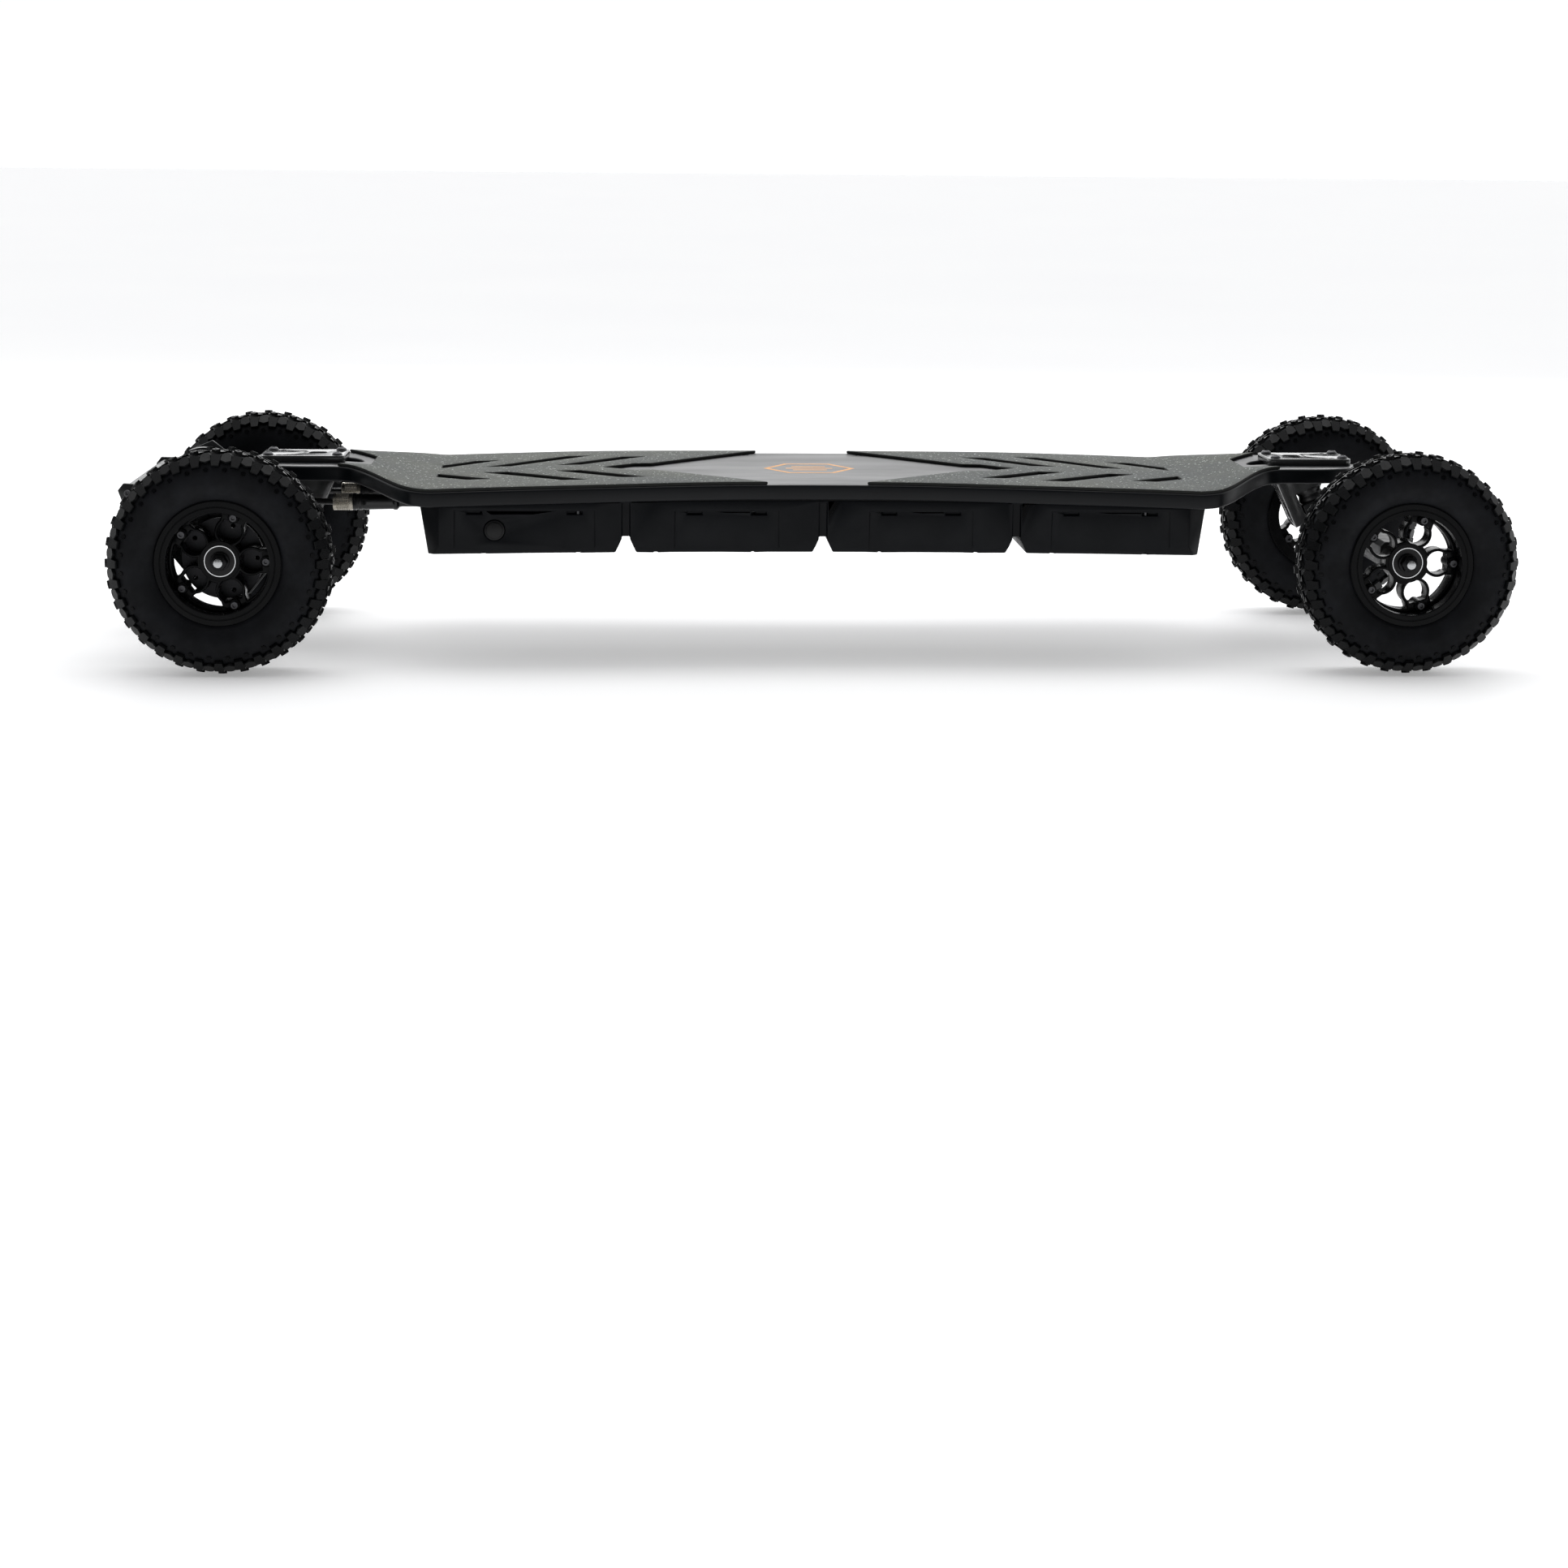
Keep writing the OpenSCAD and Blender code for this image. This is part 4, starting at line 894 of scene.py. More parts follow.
@dataclass
class Deck:
    """The laminated deck, its two foam grips and the veneer emblem."""

    frame: Frame
    waist: float = 130.0
    stand: float = 140.5
    neck: float = 61.0
    waist_end: float = 60.0
    stand_start: float = 230.0
    shoulder: float = 357.0
    neck_start: float = 430.0
    nose_start: float = 455.0
    nose_power: float = 2.4
    bend_start: float = 345.0
    bend_length: float = 95.0
    neck_lift: float = 14.0
    crown_drop: float = 6.5
    thickness: float = 13.5
    slot_half: float = 15.0
    slot_start: float = 431.8
    grip_thickness: float = 2.8
    grip_margin: float = 1.6
    slash_width: float = 23.0
    slash_inner: float = 22.5
    emblem_radius: float = 43.0
    screw_row: float = 113.0
    screw_stations: tuple[float, ...] = (57.5, 145, 215, 300)
    tip: float = field(init=False)
    crown: float = field(init=False)

    def __post_init__(self) -> None:
        """Takes the deck's tip and crown from the frame."""
        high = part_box("deck")[1]
        self.tip = high.x / MM
        self.crown = high.z / MM - self.neck_lift + self.crown_drop

    def top(self, x: float, y: float) -> float:
        """Height of the bare deck."""
        run = abs(x)
        if run < self.bend_start:
            return self.crown - self.crown_drop * (run / self.bend_start) ** 2
        lift = self.neck_lift * smooth((run - self.bend_start) / self.bend_length)
        return self.crown - self.crown_drop + lift

    def above(self, lift: float) -> Height:
        """A height function that keeps a distance from the bare deck."""
        return lambda x, y: self.top(x, y) + lift

    def half_width(self, x: float) -> float:
        """Half width of the deck at a distance from mid length."""
        if x < self.shoulder:
            return self.waist + (self.stand - self.waist) * smooth(
                (x - self.waist_end) / (self.stand_start - self.waist_end))
        if x < self.nose_start:
            return self.stand - (self.stand - self.neck) * smooth(
                (x - self.shoulder) / (self.neck_start - self.shoulder))
        share = min(1.0, (x - self.nose_start) / (self.tip - self.nose_start))
        return self.neck * (1 - share ** self.nose_power) ** (1 / self.nose_power)

    def stations(self, start: float, end: float, step: float) -> list[float]:
        """Evenly spaced places between two distances from mid length."""
        count = max(1, round((end - start) / step))
        return [start + (end - start) * k / count for k in range(count + 1)]

    def fork_quarter(self) -> list[Flat]:
        """The outline from mid length to the tip and back along the slot, for +X and +Y."""
        flare = 0.94 * (self.tip - self.nose_start)
        straight = self.stations(0, self.nose_start, 5)
        turns = self.stations(0, 1, 0.05)[1:]
        lobe = [self.nose_start + flare * math.sin(math.pi / 2 * t) for t in turns]
        mouth = [(self.tip - 4.5, self.slot_half + 6.5), (self.tip - 9.5, self.slot_half)]
        moon = arc(self.slot_start, 0, self.slot_half, 90, 180, 12)
        return [(x, self.half_width(x)) for x in straight + lobe] + mouth + moon

    def outline(self) -> list[Flat]:
        """The deck's whole outline, with both slots."""
        quarter = self.fork_quarter()
        front = quarter + [(x, -y) for x, y in reversed(quarter[:-1])]
        rear = [(-x, -y) for x, y in front]
        return front[:-1] + rear[:-1]

    def holes(self) -> list[list[Flat]]:
        """Screw holes of the tray, sunk just wide enough for the heads."""
        return [circle(sx * x, sy * self.screw_row, 3.75, 20)
                for x in self.screw_stations for sx in (1, -1) for sy in (1, -1)]

    def grip_outline(self) -> list[Flat]:
        """The front grip's outline: deck edge, neck platform and the centre panel's arrow."""
        start = 44.0
        edge = [(x, self.half_width(x) - self.grip_margin) for x in self.stations(start, 436, 5)]
        neck = [(407, 33), (407, -33)]
        arrow = [(148, -25.5), (165, -25.5), (194, 0), (165, 25.5), (148, 25.5)]
        return edge + neck + [(x, -y) for x, y in reversed(edge)] + arrow

    def slash(self, inner: float, outer: float) -> list[Flat]:
        """A slanted cut that runs out at 45 degrees from its inner end."""
        run = outer - self.slash_inner
        width = self.slash_width
        return [(inner, self.slash_inner), (inner - width, self.slash_inner),
                (inner - run - width, outer), (inner - run, outer)]

    def cuts(self) -> list[list[Flat]]:
        """The six cuts of the front grip."""
        clipped = [(346, 23), (294, 75), (317, 75), (346, 46)]
        left = [rounded(cut, 0.8, 2) for cut in (self.slash(304, 96.5), self.slash(237, 83), clipped)]
        return left + [[(x, -y) for x, y in cut] for cut in left]

    def build_board(self) -> None:
        """The laminate, with its rounded rim."""
        under = self.above(-self.thickness)
        board = Slab([self.outline(), *self.holes()], self.above(0), under, 13, 2.0, 4, 6)
        self.frame.adopt(board.build("deck_board", Paint.DECK), "deck")

    def build_grips(self) -> None:
        """The two grips, the rear one turned end for end."""
        sheet = Slab([rounded(self.grip_outline(), 2.0, 2), *self.cuts()], self.above(self.grip_thickness),
                     self.above(0.03), 13, 0.7, 2, 6)
        for end in End:
            half_turn = Matrix.Rotation(0 if end is End.FRONT else math.pi, 4, "Z")
            grip = sheet.build(f"{end.word}_grip_sheet", Paint.GRIP, half_turn, Paint.FOAM)
            self.frame.adopt(grip, f"{end.word}_grip")

    def build_emblem(self) -> None:
        """A plain hexagon ring with three bars, let into the deck."""
        proud = self.above(0.06)
        depth = self.above(-0.5)
        band, spacing = 5.0, 13.0
        shapes = [[circle(0, 0, self.emblem_radius, 6), circle(0, 0, self.emblem_radius - band, 6)]]
        for k in (-1, 0, 1):
            reach = 22 - 6 * abs(k)
            low, high = spacing * k - band / 2, spacing * k + band / 2
            shapes.append([[(-reach, low), (reach, low), (reach, high), (-reach, high)]])
        slabs = [Slab(loops, proud, depth, 9, 0.05, 1, 5) for loops in shapes]
        parts = [slab.build("emblem_part", Paint.MAPLE) for slab in slabs]
        self.frame.adopt(joined("deck_emblem", parts), "deck_inlay")

    def build(self) -> None:
        """Makes every piece of the deck."""
        self.build_board()
        self.build_grips()
        self.build_emblem()


# ---- battery tray -----------------------------------------------------------------------------
@dataclass
class Tray:
    """The battery tray and everything in it and on it."""

    frame: Frame
    shell_easing: float = 1.1

    def build(self) -> None:
        """Eases the shell and dresses the small parts."""
        frame = self.frame
        frame.ease(self.shell_easing, Paint.TRAY, "battery_tray")
        frame.ease(0.7, Paint.BUTTON, "power_button")
        frame.ease(0.4, Paint.BRIGHT, "charge_port")
        frame.dress(Paint.GASKET, "tray_gasket")
        frame.dress(Paint.DARK_STEEL, "tray_screws")
        frame.dress(Paint.CELLS, "battery_cells")
        frame.dress(Paint.BOARD, "battery_board")
        frame.dress(Paint.SINK, "speed_controller")


# ---- cables -----------------------------------------------------------------------------------
@dataclass
class Cables:
    """The connectors, boots and motor leads under the rear neck.

    The leads are held at both ends and run over the two steering joints; they ride on no body.
    """

    frame: Frame
    tubes: NodeTree
    ring: NodeTree
    lead_radius: float = 2.5
    connector: Spot = (-441.0, 40.0, 136.0)
    boot_start: float = 18.0
    boot_profile: tuple[Flat, ...] = (
        (0.5, 0), (7.6, 0), (7.9, 0.5), (7.9, 3), (7.4, 3.6), (7.4, 5), (7.8, 5.6), (7.8, 8), (7.3, 8.6),
        (7.3, 10), (7.6, 10.6), (7.5, 13), (7.15, 24), (6.9, 36.6), (7.3, 37.2), (7.6, 37.8), (7.6, 40.4),
        (7.0, 41), (5, 42.5), (4.6, 45), (4.6, 70), (0.5, 70))
    ferrule_profile: tuple[Flat, ...] = (
        (0.5, 0), (7.6, 0), (8.0, 0.5), (8.0, 2.6), (7.6, 3), (7.6, 14.4), (8.1, 15), (8.1, 17.4), (7.7, 18),
        (0.5, 18))
    trunk_route: tuple[Spot, ...] = (
        (-441, 42.6, 136), (-458, 41.5, 136), (-474, 38.5, 135.5), (-488, 36, 134), (-498, 35, 132))
    trunk_gap: float = 5.2
    motor_routes: tuple[tuple[Spot, ...], ...] = (
        ((-503, 36, 131), (-510, 42, 127.5), (-516, 52, 125), (-522, 66, 124.5), (-529.5, 78, 126.5),
         (-536.3, 87.5, 128.3), (-541.8, 92.2, 126.6), (-545.4, 93, 127.4)),
        ((-506.5, 31, 129), (-514.5, 38.5, 125.5), (-520.5, 49.5, 122.5), (-526.5, 62.5, 121),
         (-534, 74, 122), (-541.6, 83.3, 123.4), (-543.8, 87.8, 122.8), (-546.8, 88.8, 124.1)))

    def socket(self, side: Side, along: float = 0.0) -> Matrix:
        """Where a part built along +Z goes, pointing to the nose from the connector."""
        x, y, z = self.connector
        spot = Vector((x + along, y * side.value, z)) * MM
        return Matrix.Translation(spot) @ Matrix.Rotation(math.pi / 2, 4, "Y")

    def tube(self, name: str, routes: Sequence[Sequence[Spot]], radius: float) -> bpy.types.Object:
        """Sweeps a round jacket along routes, on both sides of the board."""
        points: list[Spot] = []
        edges = []
        for route in routes:
            for side in Side:
                line = curve_points([(x, y * side.value, z) for x, y, z in route], 5)
                edges += [(len(points) + k, len(points) + k + 1) for k in range(len(line) - 1)]
                points += [tuple(p) for p in line]
        mesh = bpy.data.meshes.new(name)
        mesh.from_pydata([tuple(c * MM for c in p) for p in points], edges, [])
        jacket = Paint.JACKET.material()
        return self.tubes.apply(linked(name, mesh), Radius=radius * MM, Sides=14, Material=jacket)

    def build_leads(self) -> None:
        """The leads in two stretches that meet over the steering arm."""
        trunks = [[(x, y - self.trunk_gap * k, z) for x, y, z in self.trunk_route] + [route[0]]
                  for k, route in enumerate(self.motor_routes)]
        trunk = self.tube("deck_side_leads", trunks, self.lead_radius)
        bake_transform(trunk)
        self.frame.adopt(trunk, "trunk_leads", ride=False)
        motor = self.tube("motor_side_leads", self.motor_routes, self.lead_radius)
        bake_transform(motor)
        self.frame.adopt(motor, "motor_leads", ride=False)

    def build_boots(self) -> None:
        """Tapered boots with a ribbed neck and a collar at the tray."""
        parts = []
        for side in Side:
            place = self.socket(side, self.boot_start)
            parts.append(solid("boot", *lathe(self.boot_profile, 40), Paint.JACKET, place))
            outward(parts[-1])
        self.frame.adopt(joined("connector_boots", parts), "cable_boots")

    def ridges(self) -> tuple[list[Spot], list[list[int]]]:
        """One row of the ferrule's pointed studs, as vertices and faces."""
        points: list[Spot] = []
        faces: list[list[int]] = []
        pitch, half_width, foot, tip = 1.6, 0.72, 7.4, 8.2
        for k in range(7):
            low = 3.1 + pitch * k
            high = low + pitch
            base = len(points)
            points += [(foot, -half_width, low), (foot, half_width, low), (foot, half_width, high),
                       (foot, -half_width, high), (tip, 0, low + pitch / 2)]
            faces += [[base + i, base + (i + 1) % 4, base + 4] for i in range(4)]
            faces.append([base + 3, base + 2, base + 1, base])
        return points, faces

    def build_connectors(self) -> None:
        """Knurled nickel ferrules with a plain step at each end."""
        parts = []
        for side in Side:
            place = self.socket(side)
            parts.append(solid("ferrule", *lathe(self.ferrule_profile, 48), Paint.NICKEL, place))
            knurl = solid("knurl", *self.ridges(), Paint.NICKEL)
            self.ring.apply(knurl, Count=32, Material=Paint.NICKEL.material())
            knurl.data.transform(place)
            parts.append(knurl)
        self.frame.adopt(joined("knurled_connectors", parts), "cable_connectors")

    def build(self) -> None:
        """Makes the leads, boots and connectors."""
        self.build_leads()
        self.build_boots()
        self.build_connectors()


def outward(piece: bpy.types.Object) -> None:
    """Turns a closed piece's faces outwards."""
    form = bmesh.new()
    form.from_mesh(piece.data)
    bmesh.ops.recalc_face_normals(form, faces=form.faces)
    form.to_mesh(piece.data)
    form.free()


# ---- trucks -----------------------------------------------------------------------------------
@dataclass
class Truck:
    """One double-kingpin truck: base, arm, hanger, kingpins and bushings."""

    frame: Frame
    end: End
    tilt: float = 25.0
    pivot: Flat = (482.0, 132.0)
    outer: Flat = (31.8, -35.8)
    inner_half: float = 5.0
    outer_half: float = 6.0
    bushing: float = 12.0
    nut_reach: float = 4.2

    def spot(self, along: float, up: float) -> Spot:
        """A point of the truck's tilted frame, in metres in the board's frame."""
        a = math.radians(self.tilt)
        x = self.pivot[0] + along * math.cos(a) - up * math.sin(a)
        z = self.pivot[1] + along * math.sin(a) + up * math.cos(a)
        return (x * self.end.value * MM, 0.0, z * MM)

    def build_axles(self, node: str) -> None:
        """Dark washers and spacers, with a plated nut and thread at the end."""
        axles = self.frame.refine(node, 0.4, Paint.WASHER)
        low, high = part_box(node)
        x, z = (low.x + high.x) / 2, (low.z + high.z) / 2
        repaint(axles, Paint.STEEL, lambda p: math.hypot(p.x - x, p.z - z) < self.nut_reach * MM)
        self.frame.adopt(axles, node)

    def build_bushings(self, node: str, centre: Flat) -> None:
        """Urethane bushings between the two parts they hold; the real ones twist, and these pieces ride on no
        body.

        Args:
            node: the CAD node that holds both bushings.
            centre: the middle of the eye in the tilted frame.
        """
        hub = Vector(self.spot(*centre))
        axis = (Vector(self.spot(centre[0], centre[1] + 1)) - hub).normalized()
        for level, sign in (("upper", 1), ("lower", -1)):
            part = self.frame.refine(node, 0.5, Paint.URETHANE, f"{node}_{level}",
                                     keep=lambda m, s=sign: (m - hub).dot(axis) * s > 0)
            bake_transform(part)
            self.frame.adopt(part, node, ride=False)

    def build(self) -> None:
        """Dresses one truck."""
        frame, word = self.frame, self.end.word
        frame.ease(0.5, Paint.PLATE, f"{word}_truck_base")
        frame.ease(1.0, Paint.BAR if self.end is End.FRONT else Paint.TRUCK, f"{word}_arm")
        frame.ease(0.8, Paint.BAR if self.end is End.FRONT else Paint.DRIVE, f"{word}_hanger")
        self.build_axles(f"{word}_axles")
        frame.ease(0.5, Paint.DARK_STEEL, f"{word}_outer_kingpin")
        self.build_bushings(f"{word}_inner_bushings", (0, 0))
        self.build_bushings(f"{word}_outer_bushings", self.outer)


# ---- wheels -----------------------------------------------------------------------------------
@dataclass
class TyreForm:
    """The carcass's outer skin, by distance from the crown along the skin."""

    half: tuple[Flat, ...] = ((0, 95.9), (7, 95.6), (13.5, 94.3), (19, 91.6), (23.3, 87.4), (26, 82),
                              (27.3, 75.5), (27.3, 68.5), (25.3, 62), (22, 57.2))

    def __post_init__(self) -> None:
        """Works out the skin's points and their distance from the crown."""
        line = curve_points([(u, r, 0) for u, r in self.half], 8)
        self.points = np.array([(p.x, p.y) for p in line])
        steps = np.hypot(*np.diff(self.points, axis=0).T)
        self.along = np.concatenate([[0], np.cumsum(steps)])

    def at(self, distance: float, height: float) -> Flat:
        """Sideways place and radius of a point above the skin."""
        d = min(abs(distance), self.along[-1] - 0.01)
        u, r = (float(np.interp(d, self.along, self.points[:, k])) for k in (0, 1))
        u2, r2 = (float(np.interp(d + 0.01, self.along, self.points[:, k])) for k in (0, 1))
        length = math.hypot(u2 - u, r2 - r)
        nu, nr = (r - r2) / length, (u2 - u) / length
        sign = 1 if distance >= 0 else -1
        return sign * (u + nu * height), r + nr * height


@dataclass
class Wheel:
    """A knobbed tyre on a black rim, its bearings and its bolts."""

    frame: Frame
    ring: NodeTree
    scatter: NodeTree
    end: End
    side: Side
    repeats: int = 32
    crown: float = 97.0
    hole_ring: float = 27.5
    bolt_ring: float = 40.5
    hole_radius: float = 10.4
    hole_neck: float = 8.0
    fork_gap: float = 13.0
    fork_neck: float = 11.0
    fork_outer: float = 42.3
    fork_inner: float = 19.8
    form: TyreForm = field(default_factory=TyreForm)

    @property
    def word(self) -> str:
        """The wheel's name in the frame."""
        return f"{self.end.word}_{self.side.word}"

    def place(self) -> Matrix:
        """Where a part built along +Z, outwards, goes."""
        low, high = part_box(f"{self.word}_tyre")
        return Matrix.Translation((low + high) / 2) @ Matrix.Rotation(-math.pi / 2 * self.side.value, 4, "X")

    def wrap(self, a: float, b: float, height: float) -> Spot:
        """Wraps a flat tread point round the tyre: a along the rolling direction, b sideways."""
        u, r = self.form.at(b, height)
        turn = a / self.crown
        return (r * math.cos(turn), r * math.sin(turn), u)

    def knob(self, outline: Sequence[Flat], height: float,
             dimple: bool = False) -> tuple[list[Spot], list[list[int]]]:
        """One rubber block with drafted sides and an eased top.

        Args:
            outline: its flat outline, anticlockwise.
            height: how far it stands above the carcass.
            dimple: whether its top is dished.

        Returns:
            The vertices and the faces.
        """
        count = len(outline)
        cx = sum(a for a, _ in outline) / count
        cy = sum(b for _, b in outline) / count
        levels = [(1.12, -1.5), (0.99, height - 0.6), (0.9, height)]
        if dimple:
            levels += [(0.52, height), (0.36, height - 1.2)]
        points = [self.wrap(cx + (a - cx) * scale, cy + (b - cy) * scale, h)
                  for scale, h in levels for a, b in outline]
        faces = [[k + i, k + (i + 1) % count, k + count + (i + 1) % count, k + count + i]
                 for k in range(0, (len(levels) - 1) * count, count) for i in range(count)]
        last = (len(levels) - 1) * count
        faces += [[last + i for i in range(count)], list(reversed(range(count)))]
        return points, faces

    def tread_cell(self) -> tuple[list[Spot], list[list[int]]]:
        """The blocks of one repeat, on both halves of the tread."""
        pitch = 2 * math.pi * self.crown / self.repeats
        ledge = [(-8.4, 8.6), (-1.2, 3.2), (7.4, 3.2), (5.4, 8.8), (0.4, 13), (-2.6, 9.8)]
        diamond = [(1.2, 5.2), (5, 8.6), (1.2, 12), (-2.6, 8.6)]
        arch = [(-5.4, 23.6), (-4.7, 17), (-2.6, 14.6), (0, 13.9), (2.6, 14.6), (4.7, 17), (5.4, 23.6),
                (0, 25.4)]
        shoulder = [(-4.6, 17.5), (4.2, 16.2), (4.8, 22), (3.9, 28.5), (-3.9, 28.5), (-4.9, 23)]
        oval = [(-2.6, 30.6), (-1.5, 28.8), (1.5, 28.8), (2.6, 30.6), (1.6, 32.6), (-1.6, 32.6)]
        zigzag = [(-pitch / 2, 0.9), (0, -1.5), (pitch / 2, 0.9), (pitch / 2, 2.1), (0, -0.3),
                  (-pitch / 2, 2.1)]
        blocks = [(ledge, 0.0, 1.9, False), (diamond, 0.0, 4.1, True), (arch, pitch / 2, 3.0, False),
                  (shoulder, 0.0, 3.6, False), (oval, pitch / 2, 0.9, False), (zigzag, 0.0, 1.6, False)]
        points: list[Spot] = []
        faces: list[list[int]] = []
        for half in (1, -1):
            for outline, shift, height, dimple in blocks:
                moved = [((a + shift) * half + (pitch / 2 if half < 0 else 0), b * half) for a, b in outline]
                if area(moved) < 0:
                    moved.reverse()
                base = len(points)
                more_points, more_faces = self.knob(moved, height, dimple)
                points += more_points
                faces += [[i + base for i in f] for f in more_faces]
        return points, faces

    def build_tyre(self) -> None:
        """The carcass and its tread."""
        skin = [(float(r), float(u)) for u, r in self.form.points]
        outer = [(r, -u) for r, u in reversed(skin)] + skin[1:]
        inner = [(55, 20.6), (50, 20.2), (48, 20.4), (48, 15), (52, 15.5), (63, 20), (78, 23), (90, 18.5),
                 (92, 0), (90, -18.5), (78, -23), (63, -20), (52, -15.5), (48, -15), (48, -20.4), (50, -20.2),
                 (55, -20.6)]
        carcass = solid("carcass", *lathe([*outer, *inner], 160), Paint.TYRE, self.place())
        outward(carcass)
        tread = solid("tread", *self.tread_cell(), Paint.KNOB)
        self.ring.apply(tread, Count=self.repeats, Material=Paint.KNOB.material())
        tread.data.transform(self.place())
        self.frame.adopt(joined(f"{self.word}_knobbed_tyre", [carcass, tread]), f"{self.word}_tyre")

    def keyhole(self) -> list[Flat]:
        """A round opening with a square outer end."""
        flank = math.degrees(math.asin(self.hole_neck / self.hole_radius))
        square = [(36.5, -self.hole_neck), (36.5, self.hole_neck)]
        return [*square, *arc(self.hole_ring, 0, self.hole_radius, flank, 360 - flank, 24)]

    def fork_opening(self) -> list[Flat]:
        """The flared opening between two keyholes."""
        rim_angle = math.degrees(math.asin(self.fork_neck / self.fork_outer))
        flank = math.degrees(math.asin(self.fork_neck / self.fork_gap))
        half = [*arc(0, 0, self.fork_outer, 36, rim_angle, 6),
                *arc(self.hole_ring, 0, self.fork_gap, flank, 138.2, 8),
                *arc(0, 0, self.fork_inner, 25.97, 36, 3)]
        other = [turned([(x, -y)], 72)[0] for x, y in reversed(half)]
        return half + other[1:-1]

    def dish(self, base: float, fall: float) -> Height:
        """A height function for the web that falls towards the barrel."""
        return lambda x, y: base - fall * smooth((math.hypot(x, y) - 18) / 24)

    def build_rim(self) -> None:
        """Barrel, dished web, hub and bolt bosses."""
        barrel = [(45, -22.4), (45.8, -23), (54.6, -23), (55.5, -22.3), (55.5, -21.2), (49.5, -20.9),
                  (48, -20), (48, 20), (49.5, 20.9), (55.5, 21.2), (55.5, 22.3), (54.6, 23), (50.4, 23),
                  (50, 22.5), (49.6, 22.5), (49.2, 23), (45.8, 23), (45, 22.4), (44.4, 16), (45, 8),
                  (45, -14)]
        hub = [(14.05, -20), (17.4, -20), (18, -19.4), (18, 6.2), (17.4, 7), (14.05, 7), (14.05, -1),
               (12, -1.2), (12, -11.8), (14.05, -12)]
        openings = [rounded(turned(shape, 72 * k), 1.0, 2) for k in range(5)
                    for shape in (self.keyhole(), self.fork_opening())]
        web = Slab([circle(0, 0, 45.6, 96), *openings, circle(0, 0, 15.5, 48)],
                   self.dish(6.6, 1.8), self.dish(-14, -2), 7, 1.0, 3, 3)
        parts = [solid("barrel", *lathe(barrel, 128), Paint.RIM), solid("hub", *lathe(hub, 64), Paint.RIM),
                 web.build("web", Paint.RIM)]
        boss = [(2, -13.5), (5, -13.5), (5, 7.2), (4.3, 8), (2, 8)]
        for x, y in circle(0, 0, self.bolt_ring, 5):
            at = Matrix.Translation(Vector((x, y, 0)) * MM)
            parts.append(solid("boss", *lathe(boss, 24), Paint.RIM, at))
        for part in parts:
            outward(part)
        rim = joined(f"{self.word}_wheel_rim", parts)
        rim.data.transform(self.place())
        self.frame.adopt(rim, f"{self.word}_rim")

    def build_bolts(self) -> None:
        """Socket bolts on the outer face, with nuts on the inner face."""
        head = [(0.01, 0), (3.4, 0), (3.4, 2.9), (3.0, 3.4), (1.8, 3.4), (1.6, 1.2), (0.01, 1.2)]
        screw = solid("bolt", *lathe(head, 18), Paint.DARK_STEEL)
        hexagon = [(2, 0), (4, 0), (4, 2.6), (3.5, 3.2), (2, 3.2)]
        nut = solid("nut", *lathe(hexagon, 6), Paint.DARK_STEEL)
        rod = [(0.01, -22), (1.95, -22), (1.95, 0), (0.01, 0)]
        shank = solid("shank", *lathe(rod, 14), Paint.DARK_STEEL)
        nut.data.transform(Matrix.Translation((0, 0, -25.2 * MM)))
        template = joined("bolt_template", [screw, nut, shank])
        outward(template)
        spots = [(x, y, 8) for x, y in circle(0, 0, self.bolt_ring, 5)]
        bolts = solid(f"{self.word}_socket_bolts", spots, [], Paint.DARK_STEEL)
        steel = Paint.DARK_STEEL.material()
        self.scatter.apply(bolts, Template=template, Turn=(0, 0, 0), Material=steel)
        bpy.data.objects.remove(template)
        bolts.data.transform(self.place())
        self.frame.adopt(bolts, f"{self.word}_rim_bolts")

    def build_bearings(self) -> None:
        """Ground rings with black seals between them."""
        outer = [(12.9, 0.2), (13.1, 0), (13.8, 0), (14, 0.2), (14, 7.8), (13.8, 8), (13.1, 8), (12.9, 7.8)]
        seal = [(7.8, 0.9), (13, 0.9), (13, 7.1), (7.8, 7.1)]
        inner = [(6.05, 0.2), (6.2, 0), (7.8, 0), (8, 0.2), (8, 7.8), (7.8, 8), (6.2, 8), (6.05, 7.8)]
        parts = []
        for base in (-20, -1):
            for paint, ring in ((Paint.BRIGHT, outer), (Paint.SEAL, seal), (Paint.WASHER, inner)):
                profile = [(r, z + base) for r, z in ring]
                parts.append(solid("ring", *lathe(profile, 64), paint, self.place()))
                outward(parts[-1])
        self.frame.adopt(joined(f"{self.word}_ball_bearings", parts), f"{self.word}_bearings")

    def build(self) -> None:
        """Makes every piece of the wheel."""
        self.build_tyre()
        self.build_rim()
        self.build_bolts()
        self.build_bearings()


